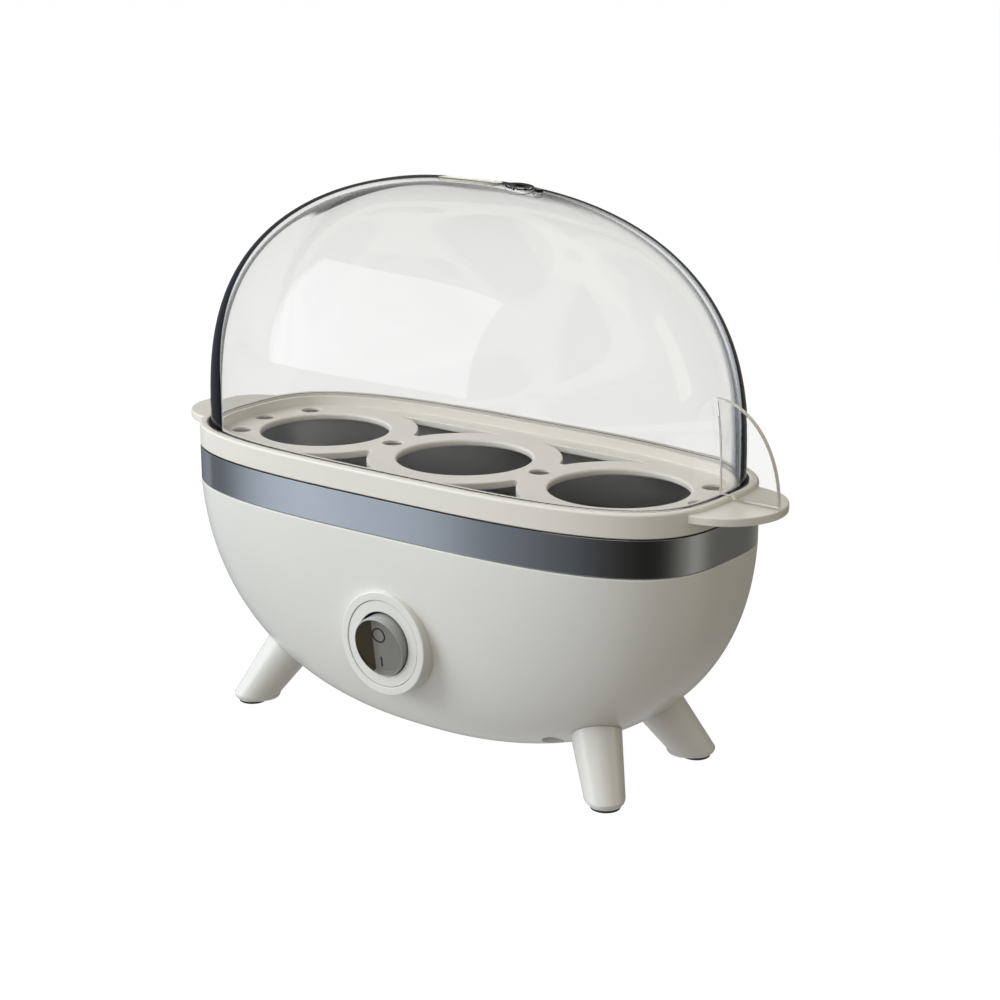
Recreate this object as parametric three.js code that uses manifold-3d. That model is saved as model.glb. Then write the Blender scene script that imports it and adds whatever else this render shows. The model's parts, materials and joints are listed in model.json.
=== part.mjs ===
// Three-egg electric egg cooker: boat-shaped bowl on four splayed legs, steel band, egg tray with two
// ears, clear lid with one fin, round rocker switch, and the heating parts inside.
// Millimetres, +Z up, origin on the table under the middle. +X is the long way, -Y is the switch side.
import * as THREE from 'three';
import { mergeVertices } from 'three/addons/utils/BufferGeometryUtils.js';
import Module from 'manifold-3d';

const wasm = await Module();
wasm.setup();

// ---------------------------------------------------------------- driving dimensions
const GAP = 0.3;                                   // clearance between neighbouring pieces
const SEGMENTS = 36;                               // facets around the long oval pieces
const RIM = { a: 88.5, b: 39.5, n: 3.3 };          // plan of band and tray: half length, half width, power

const HULL = { top: 68.8, bottom: 4.4, wall: 2.6, n: 2.36 };
const HULL_LONG = { rise: 2.2, round: 2.78 };      // side view of the bowl
const HULL_CROSS = { rise: 1.94, round: 3.86 };    // end view of the bowl
const NECK = { top: 78.2, outer: 1.1, inner: 3.3 };            // insets from RIM
const BAND = { bottom: 69.1, top: 79.4, thick: 0.8 };
const SEAL = { bottom: 78.5, top: 79.5, outer: 1.9, inner: 3.6 };
const PAN = { flangeTop: 80.8, sheet: 1, floor: 57, outer: 1.9 };

const TRAY = { skirt: 79.8, under: 81.1, floor: 83.2, groove: 85, rim: 86.4, lip: 2, rib: 5.2, ribTop: 86.1,
  wall: 6.2 };
const EAR = { bottom: 83, top: 85.3, centre: 86, reach: 17.5, half: 17.6 };
const EGG = { pitch: 53.4, radius: 19.4, chamfer: 0.9 };
const STEAM = { radius: 3, endX: 78.6, sideX: 73.3, sideY: 15.5, relief: 1.2, web: 0.8 };
const CUTOUT = { ring: 28, front: 27, tip: 9.2 };

const DOME = { a: 85.4, b: 36.4, base: 86.5, top: 163, wall: 1.8, foot: 85.3, flange: 2.3 };
const DOME_LONG = { rise: 2.75, round: 2.3 };
const DOME_CROSS = { rise: 2.76, round: 1.76 };
const FIN = { x: 83.3, z: 86.1, reach: 19.9, height: 26.5, thick: 1.6, over: 86.9, step: 89.4 };
const VENT = { x: 19.2, boss: 4, bore: 1.6, proud: 0.35 };
const PIP = { x: 25.4, radius: 1.3, proud: 0.8 };

const LEG = { footX: 66.5, footY: 23.4, leanX: 0.544, leanY: 0.486, low: -4.5, toe: 4.4, ankle: 3.4, tip: 5.7,
  root: 8.3, long: 36 };
const PAD = { x: 65.8, y: 22.8, radius: 4.2, high: 2, sole: 0.8 };
const LEG_SCREW = { shank: 1.6, head: 3, headHigh: 2.2, boss: 4.6, bossHigh: 5, grip: 9 };

const SWITCH = { x: 2, z: 38.1, face: -40.5, ring: 15, seat: 12.6, seatFloor: -37.6, bore: 10.8, hole: 9.35 };
const NOSE = { outer: 10.1, inner: 9.5, front: -39.4, barrel: 10.5, back: -22, recessBack: -28.5 };
const ROCKER = { pivotY: -37.6, radius: 8.6, brow: 8.1, front: 4.8, back: 2.2, dish: 1.5, crease: -2,
  trunnion: 1, tilt: 8 };
const GLAND = { z: 32, face: 38.2, boss: 8, flange: 6.5, collar: 2.3, stem: 5.4, body: 4.5, bore: 3.5,
  end: 43.9, inner: 31.5 };

const WELL = { x: 33.5, radius: 3.5, pillar: 5, top: 40, shoulder: 36 };
const DRAIN = { x: 45, y: 18.5, radius: 3.1, top: 26 };
const ELEMENT = { radius: 3.25, half: 42, side: 16, gapX: 12, legDown: 46, pinDown: 40 };
const BLOCK = { y: 5, bottom: 13, top: 22, poleX: 6, wireZ: 17.5 };
const CLAMP = { y: 24, saddle: 28.6, top: 38, screwX: 9.8 };
const FUSE = { x: 22, radius: 2, half: 6 };
const LEAD_RADIUS = 1.2;

// ---------------------------------------------------------------- finishes
const finish = (color, roughness, metalness, extra = {}) =>
  new THREE.MeshStandardMaterial({ color, roughness, metalness, ...extra });
const LOOK = {
  shell: finish(0xdcdad2, 0.28, 0),
  tray: finish(0xd6cfc0, 0.35, 0),
  band: finish(0x7d848c, 0.22, 1),
  steel: finish(0xb9bcc0, 0.3, 1),
  zinc: finish(0xa4a8ac, 0.4, 1),
  brass: finish(0xc3a252, 0.35, 1),
  clear: finish(0xf4f7f8, 0.04, 0, { transparent: true, opacity: 0.3 }),
  smoke: finish(0x4d4c48, 0.2, 0),
  rubber: finish(0x33353a, 0.8, 0),
  silicone: finish(0xc9c4b8, 0.6, 0),
  phenolic: finish(0x2b2826, 0.5, 0),
  nylon: finish(0xe9e6dc, 0.5, 0),
  red: finish(0xa8352c, 0.5, 0),
  blue: finish(0x2f5f9f, 0.5, 0),
};

// ---------------------------------------------------------------- solids and booleans
// A closed three.js geometry as a solid, its faces turned outward.
function solid(geometry) {
  const bare = geometry.clone();
  for (const name of Object.keys(bare.attributes)) {
    if (name !== 'position') bare.deleteAttribute(name);
  }
  const merged = mergeVertices(bare, 1e-4);
  const position = merged.attributes.position;
  const corners = [0, 1, 2].map(() => new THREE.Vector3());
  const triangles = [];
  let volume = 0;
  for (let i = 0; i < merged.index.count; i += 3) {
    const triangle = [0, 1, 2].map((k) => merged.index.getX(i + k));
    if (new Set(triangle).size < 3) continue;
    corners.forEach((corner, k) => corner.fromBufferAttribute(position, triangle[k]));
    volume += corners[0].dot(corners[1].clone().cross(corners[2]));
    triangles.push(triangle);
  }
  if (volume < 0) triangles.forEach((triangle) => triangle.reverse());
  return new wasm.Manifold(new wasm.Mesh({
    numProp: 3,
    vertProperties: Float32Array.from(position.array),
    triVerts: Uint32Array.from(triangles.flat()),
  }));
}

function geometryOf(manifold) {
  const { vertProperties, triVerts } = manifold.getMesh();
  const geometry = new THREE.BufferGeometry();
  geometry.setAttribute('position', new THREE.BufferAttribute(Float32Array.from(vertProperties), 3));
  geometry.setIndex(new THREE.BufferAttribute(Uint32Array.from(triVerts), 1));
  return geometry;
}

function join(first, ...others) {
  return others.reduce((sum, other) => sum.add(other), first);
}

function cut(first, ...others) {
  return others.reduce((rest, other) => rest.subtract(other), first);
}

const root = new THREE.Group();
root.name = 'egg_cooker';

// Adds one named piece made of a solid; returns the mesh so that it can be placed.
function piece(name, shape, material) {
  const mesh = new THREE.Mesh(geometryOf(shape), material.clone());
  mesh.name = name;
  root.add(mesh);
  return mesh;
}

// ---------------------------------------------------------------- basic shapes
// A closed skin through a list of superellipse rings {a, b, n, z}; a ring with a = 0 is a pole.
function oval(rings, segments = SEGMENTS) {
  const levels = rings.map((ring, j) => new THREE.Vector2(ring.a > 0 ? 1 : 0, j));
  const grid = new THREE.LatheGeometry(levels, segments);
  const position = grid.attributes.position;
  const bow = (value, power) => Math.sign(value) * Math.abs(value) ** power;
  for (let i = 0; i <= segments; i += 1) {
    const angle = ((i % segments) / segments) * 2 * Math.PI;
    rings.forEach(({ a, b, n, z }, j) => {
      const x = a > 0 ? a * bow(Math.round(Math.cos(angle) * 1e9) / 1e9, 2 / n) : 0;
      const y = a > 0 ? b * bow(Math.round(Math.sin(angle) * 1e9) / 1e9, 2 / n) : 0;
      position.setXYZ(i * rings.length + j, x, y, z);
    });
  }
  return solid(grid);
}

// The rim's plan, drawn in by inset, at height z.
const rimRing = (inset, z) => ({ a: RIM.a - inset, b: RIM.b - inset, n: RIM.n, z });
const pole = (z) => ({ a: 0, b: 0, n: 2, z });

// A ring of rectangular section that follows the rim.
function rimBand(outer, inner, bottom, top) {
  return oval([rimRing(outer, bottom), rimRing(outer, top), rimRing(inner, top), rimRing(inner, bottom),
    rimRing(outer, bottom)]);
}

// Round bar from z = 0 up along +Z.
function rod(radius, length, sides = 20) {
  return solid(new THREE.CylinderGeometry(radius, radius, length, sides).rotateX(Math.PI / 2)
    .translate(0, 0, length / 2));
}

function block(x0, x1, y0, y1, z0, z1) {
  return solid(new THREE.BoxGeometry(x1 - x0, y1 - y0, z1 - z0)
    .translate((x0 + x1) / 2, (y0 + y1) / 2, (z0 + z1) / 2));
}

const upRod = (x, y, radius, z0, z1, sides) => rod(radius, z1 - z0, sides).translate([x, y, z0]);

// Round bar along +Y between y0 and y1.
const alongY = (x, z, radius, y0, y1, sides) =>
  rod(radius, y1 - y0, sides).rotate([-90, 0, 0]).translate([x, y0, z]);

// Round bar along +X between x0 and x1.
const alongX = (y, z, radius, x0, x1, sides) =>
  rod(radius, x1 - x0, sides).rotate([0, 90, 0]).translate([x0, y, z]);

// A turned piece about +Z: profile points are [radius, height].
function turned(profile, sides = 20) {
  const points = profile.map(([radius, height]) => new THREE.Vector2(radius, height));
  return solid(new THREE.LatheGeometry(points, sides).rotateX(Math.PI / 2));
}

// A flat outline in X and Y, raised from z0 to z1.
function plate(shape, z0, z1, curveSegments = 16) {
  const options = { depth: z1 - z0, bevelEnabled: false, curveSegments };
  return solid(new THREE.ExtrudeGeometry(shape, options).translate(0, 0, z0));
}

// A round tube along a smooth curve.
function tube(curve, radius, steps, sides) {
  const section = new THREE.Shape();
  for (let i = 0; i < sides; i += 1) {
    const angle = (i / sides) * 2 * Math.PI;
    const point = [radius * Math.cos(angle), radius * Math.sin(angle)];
    if (i === 0) section.moveTo(...point);
    else section.lineTo(...point);
  }
  section.closePath();
  return solid(new THREE.ExtrudeGeometry(section, { steps, extrudePath: curve, bevelEnabled: false }));
}

// A screw pointing down -Z: its head starts at z = 0 and rises, its shank hangs below.
function screw(head, headHigh, shank, length) {
  return turned([[0, -length], [shank * 0.6, -length], [shank, -length + shank], [shank, 0],
    [head, 0], [head, headHigh * 0.6], [head * 0.75, headHigh], [0, headHigh]], 10);
}

// ---------------------------------------------------------------- the bowl's surface
const curveAt = (h, { rise, round }) => Math.max(1 - h ** rise, 0) ** (1 / round);

// The bowl's plan at depth h, 0 at the band and 1 at the bottom; grow moves the skin out.
function hullRing(h, grow) {
  const bottom = HULL.bottom - grow;
  if (h >= 1) return pole(bottom);
  return {
    a: (RIM.a + grow) * curveAt(h, HULL_LONG),
    b: (RIM.b + grow) * curveAt(h, HULL_CROSS),
    n: RIM.n + (HULL.n - RIM.n) * h,
    z: HULL.top - h * (HULL.top - bottom),
  };
}

const HULL_LEVELS = 8;
const hullDepths = Array.from({ length: HULL_LEVELS },
  (_, i) => Math.sin(((i + 1) / HULL_LEVELS) * Math.PI / 2));
const hullSkin = (grow) => hullDepths.map((h) => hullRing(h, grow)).reverse();

// The solid inside the bowl's skin up to the band, grown or shrunk.
function hullBody(grow, top) {
  const edge = { ...hullRing(0, grow), z: top };
  return oval([...hullSkin(grow), hullRing(0, grow), edge, pole(top)]);
}

// ---------------------------------------------------------------- leg axes
// Each leg leans in towards the middle, from the centre of its foot on the table.
const corners = [
  { name: 'front_left', sx: -1, sy: -1 },
  { name: 'front_right', sx: 1, sy: -1 },
  { name: 'rear_left', sx: -1, sy: 1 },
  { name: 'rear_right', sx: 1, sy: 1 },
];
const UP = new THREE.Vector3(0, 0, 1);
for (const corner of corners) {
  corner.foot = new THREE.Vector3(corner.sx * LEG.footX, corner.sy * LEG.footY, 0);
  corner.axis = new THREE.Vector3(-corner.sx * LEG.leanX, -corner.sy * LEG.leanY, 1).normalize();
  corner.turn = new THREE.Quaternion().setFromUnitVectors(UP, corner.axis);
}

// How far up a leg's axis the bowl's outer skin is met.
function reachOfHull({ foot, axis }) {
  const step = 0.05;
  for (let along = 5; along < 60; along += step) {
    const { x, y, z } = axis.clone().multiplyScalar(along).add(foot);
    const h = (HULL.top - z) / (HULL.top - HULL.bottom);
    const ring = hullRing(Math.min(h, 1), 0);
    if (h < 1 && Math.abs(x / ring.a) ** ring.n + Math.abs(y / ring.b) ** ring.n < 1) return along;
  }
  throw new Error('a leg misses the bowl');
}
const ROOT_AT = reachOfHull(corners[0]);

// A solid made along +Z, laid on a corner's leg axis at the distance along.
function onLeg(shape, { foot, axis, turn }, along) {
  const origin = axis.clone().multiplyScalar(along).add(foot);
  const matrix = new THREE.Matrix4().compose(origin, turn, new THREE.Vector3(1, 1, 1));
  return shape.transform(matrix.elements);
}

// ---------------------------------------------------------------- bowl with its bosses and posts
const hullCavity = hullBody(-HULL.wall, NECK.top + 5);
const hullOutside = hullBody(0, HULL.top);

function hullShell() {
  const skin = hullSkin(0);
  const inside = hullSkin(-HULL.wall).filter(({ z }) => z < HULL.top - 8).reverse();
  const shell = oval([...skin, hullRing(0, 0), rimRing(NECK.outer, HULL.top), rimRing(NECK.outer, NECK.top),
    rimRing(NECK.inner, NECK.top), rimRing(NECK.inner, HULL.top - 4), ...inside]);
  const switchBoss = cut(alongY(SWITCH.x, SWITCH.z, SWITCH.ring, SWITCH.face, -25, 36), hullCavity);
  const cordBoss = cut(alongY(0, GLAND.z, GLAND.boss, 25, GLAND.face), hullCavity);
  const posts = [
    ...[-1, 1].map((side) => upRod(side * WELL.x, 0, WELL.pillar, 0, WELL.top)),
    block(-9, 9, BLOCK.y - 5, BLOCK.y + 5, 0, BLOCK.bottom - GAP),
    block(-12, 12, CLAMP.y - 3, CLAMP.y + 3, 0, CLAMP.saddle),
    ...corners.map((corner) => onLeg(rod(LEG_SCREW.boss, 4 + LEG_SCREW.bossHigh), corner, ROOT_AT - 4)),
  ].map((post) => post.intersect(hullOutside));
  const drillings = [
    alongY(SWITCH.x, SWITCH.z, SWITCH.seat, SWITCH.face - 1, SWITCH.seatFloor, 36),
    alongY(SWITCH.x, SWITCH.z, SWITCH.bore, SWITCH.seatFloor - 1, -24, 28),
    alongY(0, GLAND.z, GLAND.body + GAP, 24, GLAND.face + 1),
    ...[-1, 1].flatMap((side) => [
      upRod(side * WELL.x, 0, WELL.radius, 0, WELL.shoulder, 20),
      upRod(side * WELL.x, 0, 1.9, WELL.shoulder - 1, WELL.top + 1, 12),
      upRod(side * CLAMP.screwX, CLAMP.y, 1.5, CLAMP.saddle - 9, CLAMP.saddle + 1, 12),
    ]),
    upRod(0, BLOCK.y, 1.5, BLOCK.bottom - 4, BLOCK.bottom + 1, 12),
    ...corners.map((corner) => onLeg(rod(LEG_SCREW.shank + GAP, 14, 12), corner, ROOT_AT - 5)),
    ...corners.map(({ sx, sy }) => upRod(sx * DRAIN.x, sy * DRAIN.y, DRAIN.radius, 0, DRAIN.top, 20)),
  ];
  return cut(join(shell, switchBoss, cordBoss, ...posts), ...drillings);
}
piece('hull_shell', hullShell(), LOOK.shell);
piece('trim_band', rimBand(0, BAND.thick, BAND.bottom, BAND.top), LOOK.band);

// ---------------------------------------------------------------- legs, pads and their screws
function leg(corner) {
  const { low, toe, ankle, tip, root: top, long } = LEG;
  const cone = turned([[0, low], [toe, low], [tip, ankle], [top, long], [0, long]], 24);
  const table = block(-120, 120, -60, 60, -20, PAD.sole);
  const recess = upRod(corner.sx * PAD.x, corner.sy * PAD.y, PAD.radius + GAP, 0, PAD.high + GAP, 20);
  const screwHole = onLeg(rod(LEG_SCREW.shank + GAP, 20, 12), corner, ROOT_AT - LEG_SCREW.grip - 1);
  return cut(onLeg(cone, corner, 0), hullBody(GAP, HULL.top), table, recess, screwHole);
}
for (const corner of corners) {
  piece(`leg_${corner.name}`, leg(corner), LOOK.shell);
  const pad = piece(`foot_pad_${corner.name}`, rod(PAD.radius, PAD.high, 20), LOOK.rubber);
  pad.position.set(corner.sx * PAD.x, corner.sy * PAD.y, 0);
  const { head, headHigh, shank, bossHigh, grip } = LEG_SCREW;
  const fixing = piece(`leg_screw_${corner.name}`, screw(head, headHigh, shank, bossHigh + grip), LOOK.zinc);
  fixing.position.copy(corner.foot).addScaledVector(corner.axis, ROOT_AT + bossHigh + GAP);
  fixing.quaternion.copy(corner.turn);
}

// ---------------------------------------------------------------- water pan and its seal
function heatingPan() {
  const { flangeTop, sheet, floor, outer } = PAN;
  const under = flangeTop - sheet;
  return oval([pole(floor - sheet), rimRing(16, floor - sheet), rimRing(11.6, floor + 0.8),
    rimRing(9.6, floor + 5), rimRing(5.8, under), rimRing(outer, under), rimRing(outer, flangeTop),
    rimRing(4.9, flangeTop), rimRing(8.6, floor + 5), rimRing(10.8, floor + 1.6), rimRing(15.4, floor),
    pole(floor)]);
}
piece('heating_pan', heatingPan(), LOOK.steel);
piece('pan_seal', rimBand(SEAL.outer, SEAL.inner, SEAL.bottom, SEAL.top), LOOK.silicone);

// ---------------------------------------------------------------- heating element and what holds it
const PAN_UNDER = PAN.floor - PAN.sheet;
const ELEMENT_Z = PAN_UNDER - GAP - ELEMENT.radius;
const STRAP_TOP = ELEMENT_Z - ELEMENT.radius - GAP;
const STRAP_THICK = 1.2;

// One loop of sheathed tube under the pan: its two ends turn down at the rear and carry pins.
function heatingElement() {
  const { radius, half, side, gapX, legDown, pinDown } = ELEMENT;
  const turn = 5;
  const straight = half - side;
  const route = new THREE.CurvePath();
  const at = (x, y, z = ELEMENT_Z) => new THREE.Vector3(x, y, z);
  const arc = (cx, from, to) => {
    const count = 6;
    const points = Array.from({ length: count + 1 }, (_, i) => {
      const angle = from + (to - from) * (i / count);
      return at(cx + side * Math.cos(angle), side * Math.sin(angle));
    });
    return new THREE.CatmullRomCurve3(points);
  };
  const end = (sx, down) => {
    const pieces = [new THREE.LineCurve3(at(sx * gapX, side, legDown), at(sx * gapX, side, ELEMENT_Z - turn)),
      new THREE.QuadraticBezierCurve3(at(sx * gapX, side, ELEMENT_Z - turn), at(sx * gapX, side),
        at(sx * (gapX + turn), side))];
    if (!down) return pieces;
    return pieces.reverse().map((curve) => {
      if (curve.isLineCurve3) return new THREE.LineCurve3(curve.v2, curve.v1);
      return new THREE.QuadraticBezierCurve3(curve.v2, curve.v1, curve.v0);
    });
  };
  const curves = [
    ...end(1, false),
    new THREE.LineCurve3(at(gapX + turn, side), at(straight, side)),
    arc(straight, Math.PI / 2, -Math.PI / 2),
    new THREE.LineCurve3(at(straight, -side), at(-straight, -side)),
    arc(-straight, -Math.PI / 2, -Math.PI * 1.5),
    new THREE.LineCurve3(at(-straight, side), at(-gapX - turn, side)),
    ...end(-1, true),
  ];
  curves.forEach((curve) => route.add(curve));
  const pins = [-1, 1].map((sx) => upRod(sx * gapX, side, 1.2, pinDown, legDown + 1, 10));
  return join(tube(route, radius, 56, 8), ...pins);
}
piece('heating_element', heatingElement(), LOOK.steel);

const STUD_LOW = WELL.top + 3.6;
for (const [name, side] of [['left', -1], ['right', 1]]) {
  const x = side * WELL.x;
  const strap = cut(block(-5, 5, -20, 20, STRAP_TOP - STRAP_THICK, STRAP_TOP),
    upRod(0, 0, 2.1, STRAP_TOP - 5, STRAP_TOP + 5, 16));
  piece(`element_strap_${name}`, strap, LOOK.zinc).position.x = x;
  const stud = turned([[0, STUD_LOW], [1.7, STUD_LOW], [1.7, PAN_UNDER - 1.2], [2.8, PAN_UNDER - 0.9],
    [2.8, PAN_UNDER - GAP], [0, PAN_UNDER - GAP]], 16);
  piece(`pan_stud_${name}`, stud, LOOK.zinc).position.x = x;
  const sleeve = cut(upRod(0, 0, 3.5, WELL.top + GAP, STRAP_TOP - STRAP_THICK - GAP, 6),
    upRod(0, 0, 2, WELL.top - 1, STRAP_TOP, 16));
  piece(`pan_standoff_${name}`, sleeve, LOOK.brass).position.x = x;
  const fixing = piece(`base_screw_${name}`, screw(2.8, 2.3, 1.6, 7), LOOK.zinc);
  fixing.position.set(x, 0, WELL.shoulder - GAP);
  fixing.rotation.x = Math.PI;
}

// ---------------------------------------------------------------- thermostat and thermal fuse
const THERMOSTAT = { can: 7.9, flange: 9, brim: 0.8, low: 47.7, blade: 40, bladeX: 4 };
const BRIM_LOW = PAN_UNDER - GAP - THERMOSTAT.brim;
function thermostat() {
  const { can, flange, low, blade, bladeX } = THERMOSTAT;
  const body = turned([[0, low], [can - 0.7, low], [can, low + 0.7], [can, BRIM_LOW], [flange, BRIM_LOW],
    [flange, PAN_UNDER - GAP], [0, PAN_UNDER - GAP]]);
  const blades = [-bladeX, bladeX].map((x) => block(x - 0.4, x + 0.4, -3.1, 3.1, blade, low + 1));
  return join(body, ...blades);
}
piece('thermostat', thermostat(), LOOK.phenolic);

// A thin oval plate presses the thermostat's brim to the pan, on two welded studs.
const PLATE = { halfX: 9.6, halfY: 12.3, thick: 0.6, studY: 10.4 };
const PLATE_TOP = BRIM_LOW - GAP;
function thermostatPlate() {
  const outline = new THREE.Shape();
  outline.absellipse(0, 0, PLATE.halfX, PLATE.halfY, 0, 2 * Math.PI);
  const low = PLATE_TOP - PLATE.thick;
  const holes = [-1, 1].map((side) => upRod(0, side * PLATE.studY, 1.3, low - 1, PLATE_TOP + 1, 12));
  const middle = upRod(0, 0, THERMOSTAT.can + GAP, low - 1, PLATE_TOP + 1);
  return cut(plate(outline, low, PLATE_TOP, 12), middle, ...holes);
}
piece('thermostat_plate', thermostatPlate(), LOOK.zinc);
const NUT_HIGH = 2;
for (const [name, side] of [['front', -1], ['rear', 1]]) {
  const studLow = PLATE_TOP - PLATE.thick - GAP - NUT_HIGH - 1.5;
  const stud = rod(1, PAN_UNDER - GAP - studLow, 10);
  piece(`thermostat_stud_${name}`, stud, LOOK.zinc).position.set(0, side * PLATE.studY, studLow);
  const nut = cut(rod(2.1, NUT_HIGH, 6), upRod(0, 0, 1.3, -1, NUT_HIGH + 1, 12));
  piece(`thermostat_nut_${name}`, nut, LOOK.zinc).position.set(0, side * PLATE.studY, studLow + 1.5);
}

const FUSE_Z = PAN_UNDER - GAP - FUSE.radius;
piece('thermal_fuse', alongY(0, 0, FUSE.radius, -FUSE.half, FUSE.half, 12), LOOK.steel)
  .position.set(FUSE.x, 0, FUSE_Z);
function fuseClip() {
  const sheet = 0.8;
  const low = FUSE_Z - FUSE.radius - GAP - sheet;
  const arm = FUSE.radius + GAP;
  const band = block(-arm - sheet, arm + sheet, -2.5, 2.5, low, PAN_UNDER - GAP);
  const foot = block(-arm - 4, -arm, -2.5, 2.5, PAN_UNDER - GAP - sheet, PAN_UNDER - GAP);
  return cut(join(band, foot), block(-arm, arm, -4, 4, low + sheet, PAN_UNDER + 1));
}
piece('fuse_clip', fuseClip(), LOOK.zinc).position.x = FUSE.x;

// ---------------------------------------------------------------- round rocker switch
function switchBezel() {
  const front = SWITCH.face + 0.2;
  const ring = alongY(0, 0, SWITCH.seat - GAP, front, SWITCH.seatFloor - GAP, 32);
  const nose = alongY(0, 0, NOSE.outer + GAP, NOSE.front - GAP, 0, 32);
  return cut(ring, nose, alongY(0, 0, SWITCH.hole, front - 1, 0, 32));
}
piece('switch_bezel', switchBezel(), LOOK.shell).position.set(SWITCH.x, 0, SWITCH.z);

const TAB_Z = 5;
function switchHousing() {
  const nose = alongY(0, 0, NOSE.outer, NOSE.front, -36, 32);
  const barrel = alongY(0, 0, NOSE.barrel, SWITCH.seatFloor, NOSE.back, 32);
  const recess = alongY(0, 0, NOSE.inner, NOSE.front - 1, NOSE.recessBack, 32);
  const bearing = alongX(ROCKER.pivotY, 0, ROCKER.trunnion + GAP, -NOSE.outer - 0.1, NOSE.outer + 0.1, 12);
  const slots = [-1, 1].map((side) =>
    block(-3.5, 3.5, NOSE.back - 4, NOSE.back + 1, side * TAB_Z - 0.7, side * TAB_Z + 0.7));
  return cut(join(nose, barrel), recess, bearing, ...slots);
}
piece('switch_housing', switchHousing(), LOOK.smoke).position.set(SWITCH.x, 0, SWITCH.z);

for (const [name, side] of [['lower', -1], ['upper', 1]]) {
  const tab = block(-3.15, 3.15, NOSE.back - 3.6, NOSE.back + 8, -0.4, 0.4);
  const hole = upRod(0, NOSE.back + 5, 0.9, -1, 1, 10);
  piece(`switch_tab_${name}`, cut(tab, hole), LOOK.brass)
    .position.set(SWITCH.x, 0, SWITCH.z + side * TAB_Z);
}

// The rocker is a round cap dished inside a thin brow: flat right of an upright crease, and rising to the
// brow left of it. It turns on two trunnions, and at rest its lower half is pressed in.
function rocker() {
  const { radius, brow, front, back, dish, crease, trunnion } = ROCKER;
  const cap = turned([[0, -back], [radius - 2.4, -back], [radius - 0.2, -0.8], [radius, 0],
    [radius, front - 0.7], [radius - 0.15, front - 0.2], [brow, front], [0, front]], 28).rotate([90, 0, 0]);
  const section = new THREE.Shape();
  section.moveTo(-brow - 1, front + 3);
  section.lineTo(-brow - 1, front - dish);
  section.lineTo(-crease, front - dish);
  section.lineTo(brow, front + 0.1);
  section.lineTo(brow, front + 3);
  section.closePath();
  const insideBrow = alongY(0, 0, brow, -front - 4, 0, 28);
  const cutter = plate(section, -brow, brow, 1).rotate([0, 0, 180]).intersect(insideBrow);
  const pinEndX = NOSE.outer - 0.2;
  return join(cut(cap, cutter), alongX(0, 0, trunnion, -pinEndX, pinEndX, 12));
}
const rockerMesh = piece('switch_rocker', rocker(), LOOK.smoke);
rockerMesh.position.set(SWITCH.x, ROCKER.pivotY, SWITCH.z);
rockerMesh.rotation.x = THREE.MathUtils.degToRad(ROCKER.tilt);

// ---------------------------------------------------------------- cord inlet: gland, clamp, terminals
function cordGland() {
  const { flange, stem, body, bore, face, end, inner } = GLAND;
  const collar = alongY(0, 0, flange, face + GAP, face + GLAND.collar);
  const outside = alongY(0, 0, stem, face + 1, end);
  const inside = alongY(0, 0, body, inner, face + 1);
  return cut(join(collar, outside, inside), alongY(0, 0, bore, inner - 1, end + 1));
}
piece('cord_gland', cordGland(), LOOK.rubber).position.z = GLAND.z;

function cordClamp() {
  const bar = block(-12, 12, CLAMP.y - 3, CLAMP.y + 3, CLAMP.saddle + GAP, CLAMP.top);
  const tunnel = alongY(0, GLAND.z, GLAND.bore, CLAMP.y - 5, CLAMP.y + 5);
  const mouth = block(-GLAND.bore, GLAND.bore, CLAMP.y - 5, CLAMP.y + 5, CLAMP.saddle - 1, GLAND.z);
  const holes = [-1, 1].map((side) =>
    upRod(side * CLAMP.screwX, CLAMP.y, 1.5, CLAMP.saddle - 1, CLAMP.top + 1, 12));
  return cut(bar, tunnel, mouth, ...holes);
}
piece('cord_clamp', cordClamp(), LOOK.nylon);
for (const [name, side] of [['left', -1], ['right', 1]]) {
  const fixing = piece(`clamp_screw_${name}`, screw(2.2, 1.6, 1.2, 15), LOOK.zinc);
  fixing.position.set(side * CLAMP.screwX, CLAMP.y, CLAMP.top + GAP);
}

const polesX = [['left', -BLOCK.poleX], ['right', BLOCK.poleX]];
function terminalBlock() {
  const { y, bottom, top, wireZ } = BLOCK;
  const body = block(-11, 11, y - 5, y + 5, bottom, top);
  const wires = polesX.map(([, x]) => alongY(x, wireZ, 1.6, y - 6, y + 6, 12));
  const wells = polesX.map(([, x]) => upRod(x, y, 1.8, wireZ, top + 1, 12));
  return cut(body, ...wires, ...wells, upRod(0, y, 1.5, bottom - 1, top + 1, 12),
    upRod(0, y, 2.6, top - 3.2, top + 1, 16));
}
piece('terminal_block', terminalBlock(), LOOK.nylon);
for (const [name, x] of polesX) {
  const grub = cut(rod(1.2, 4.2, 12), block(-2, 2, -0.3, 0.3, 3.4, 5));
  piece(`terminal_screw_${name}`, grub, LOOK.brass).position.set(x, BLOCK.y, BLOCK.wireZ - 0.4);
}
piece('block_screw', screw(2.2, 1.6, 1.2, 9), LOOK.zinc).position.set(0, BLOCK.y, BLOCK.top - 3.2 + GAP);

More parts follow.
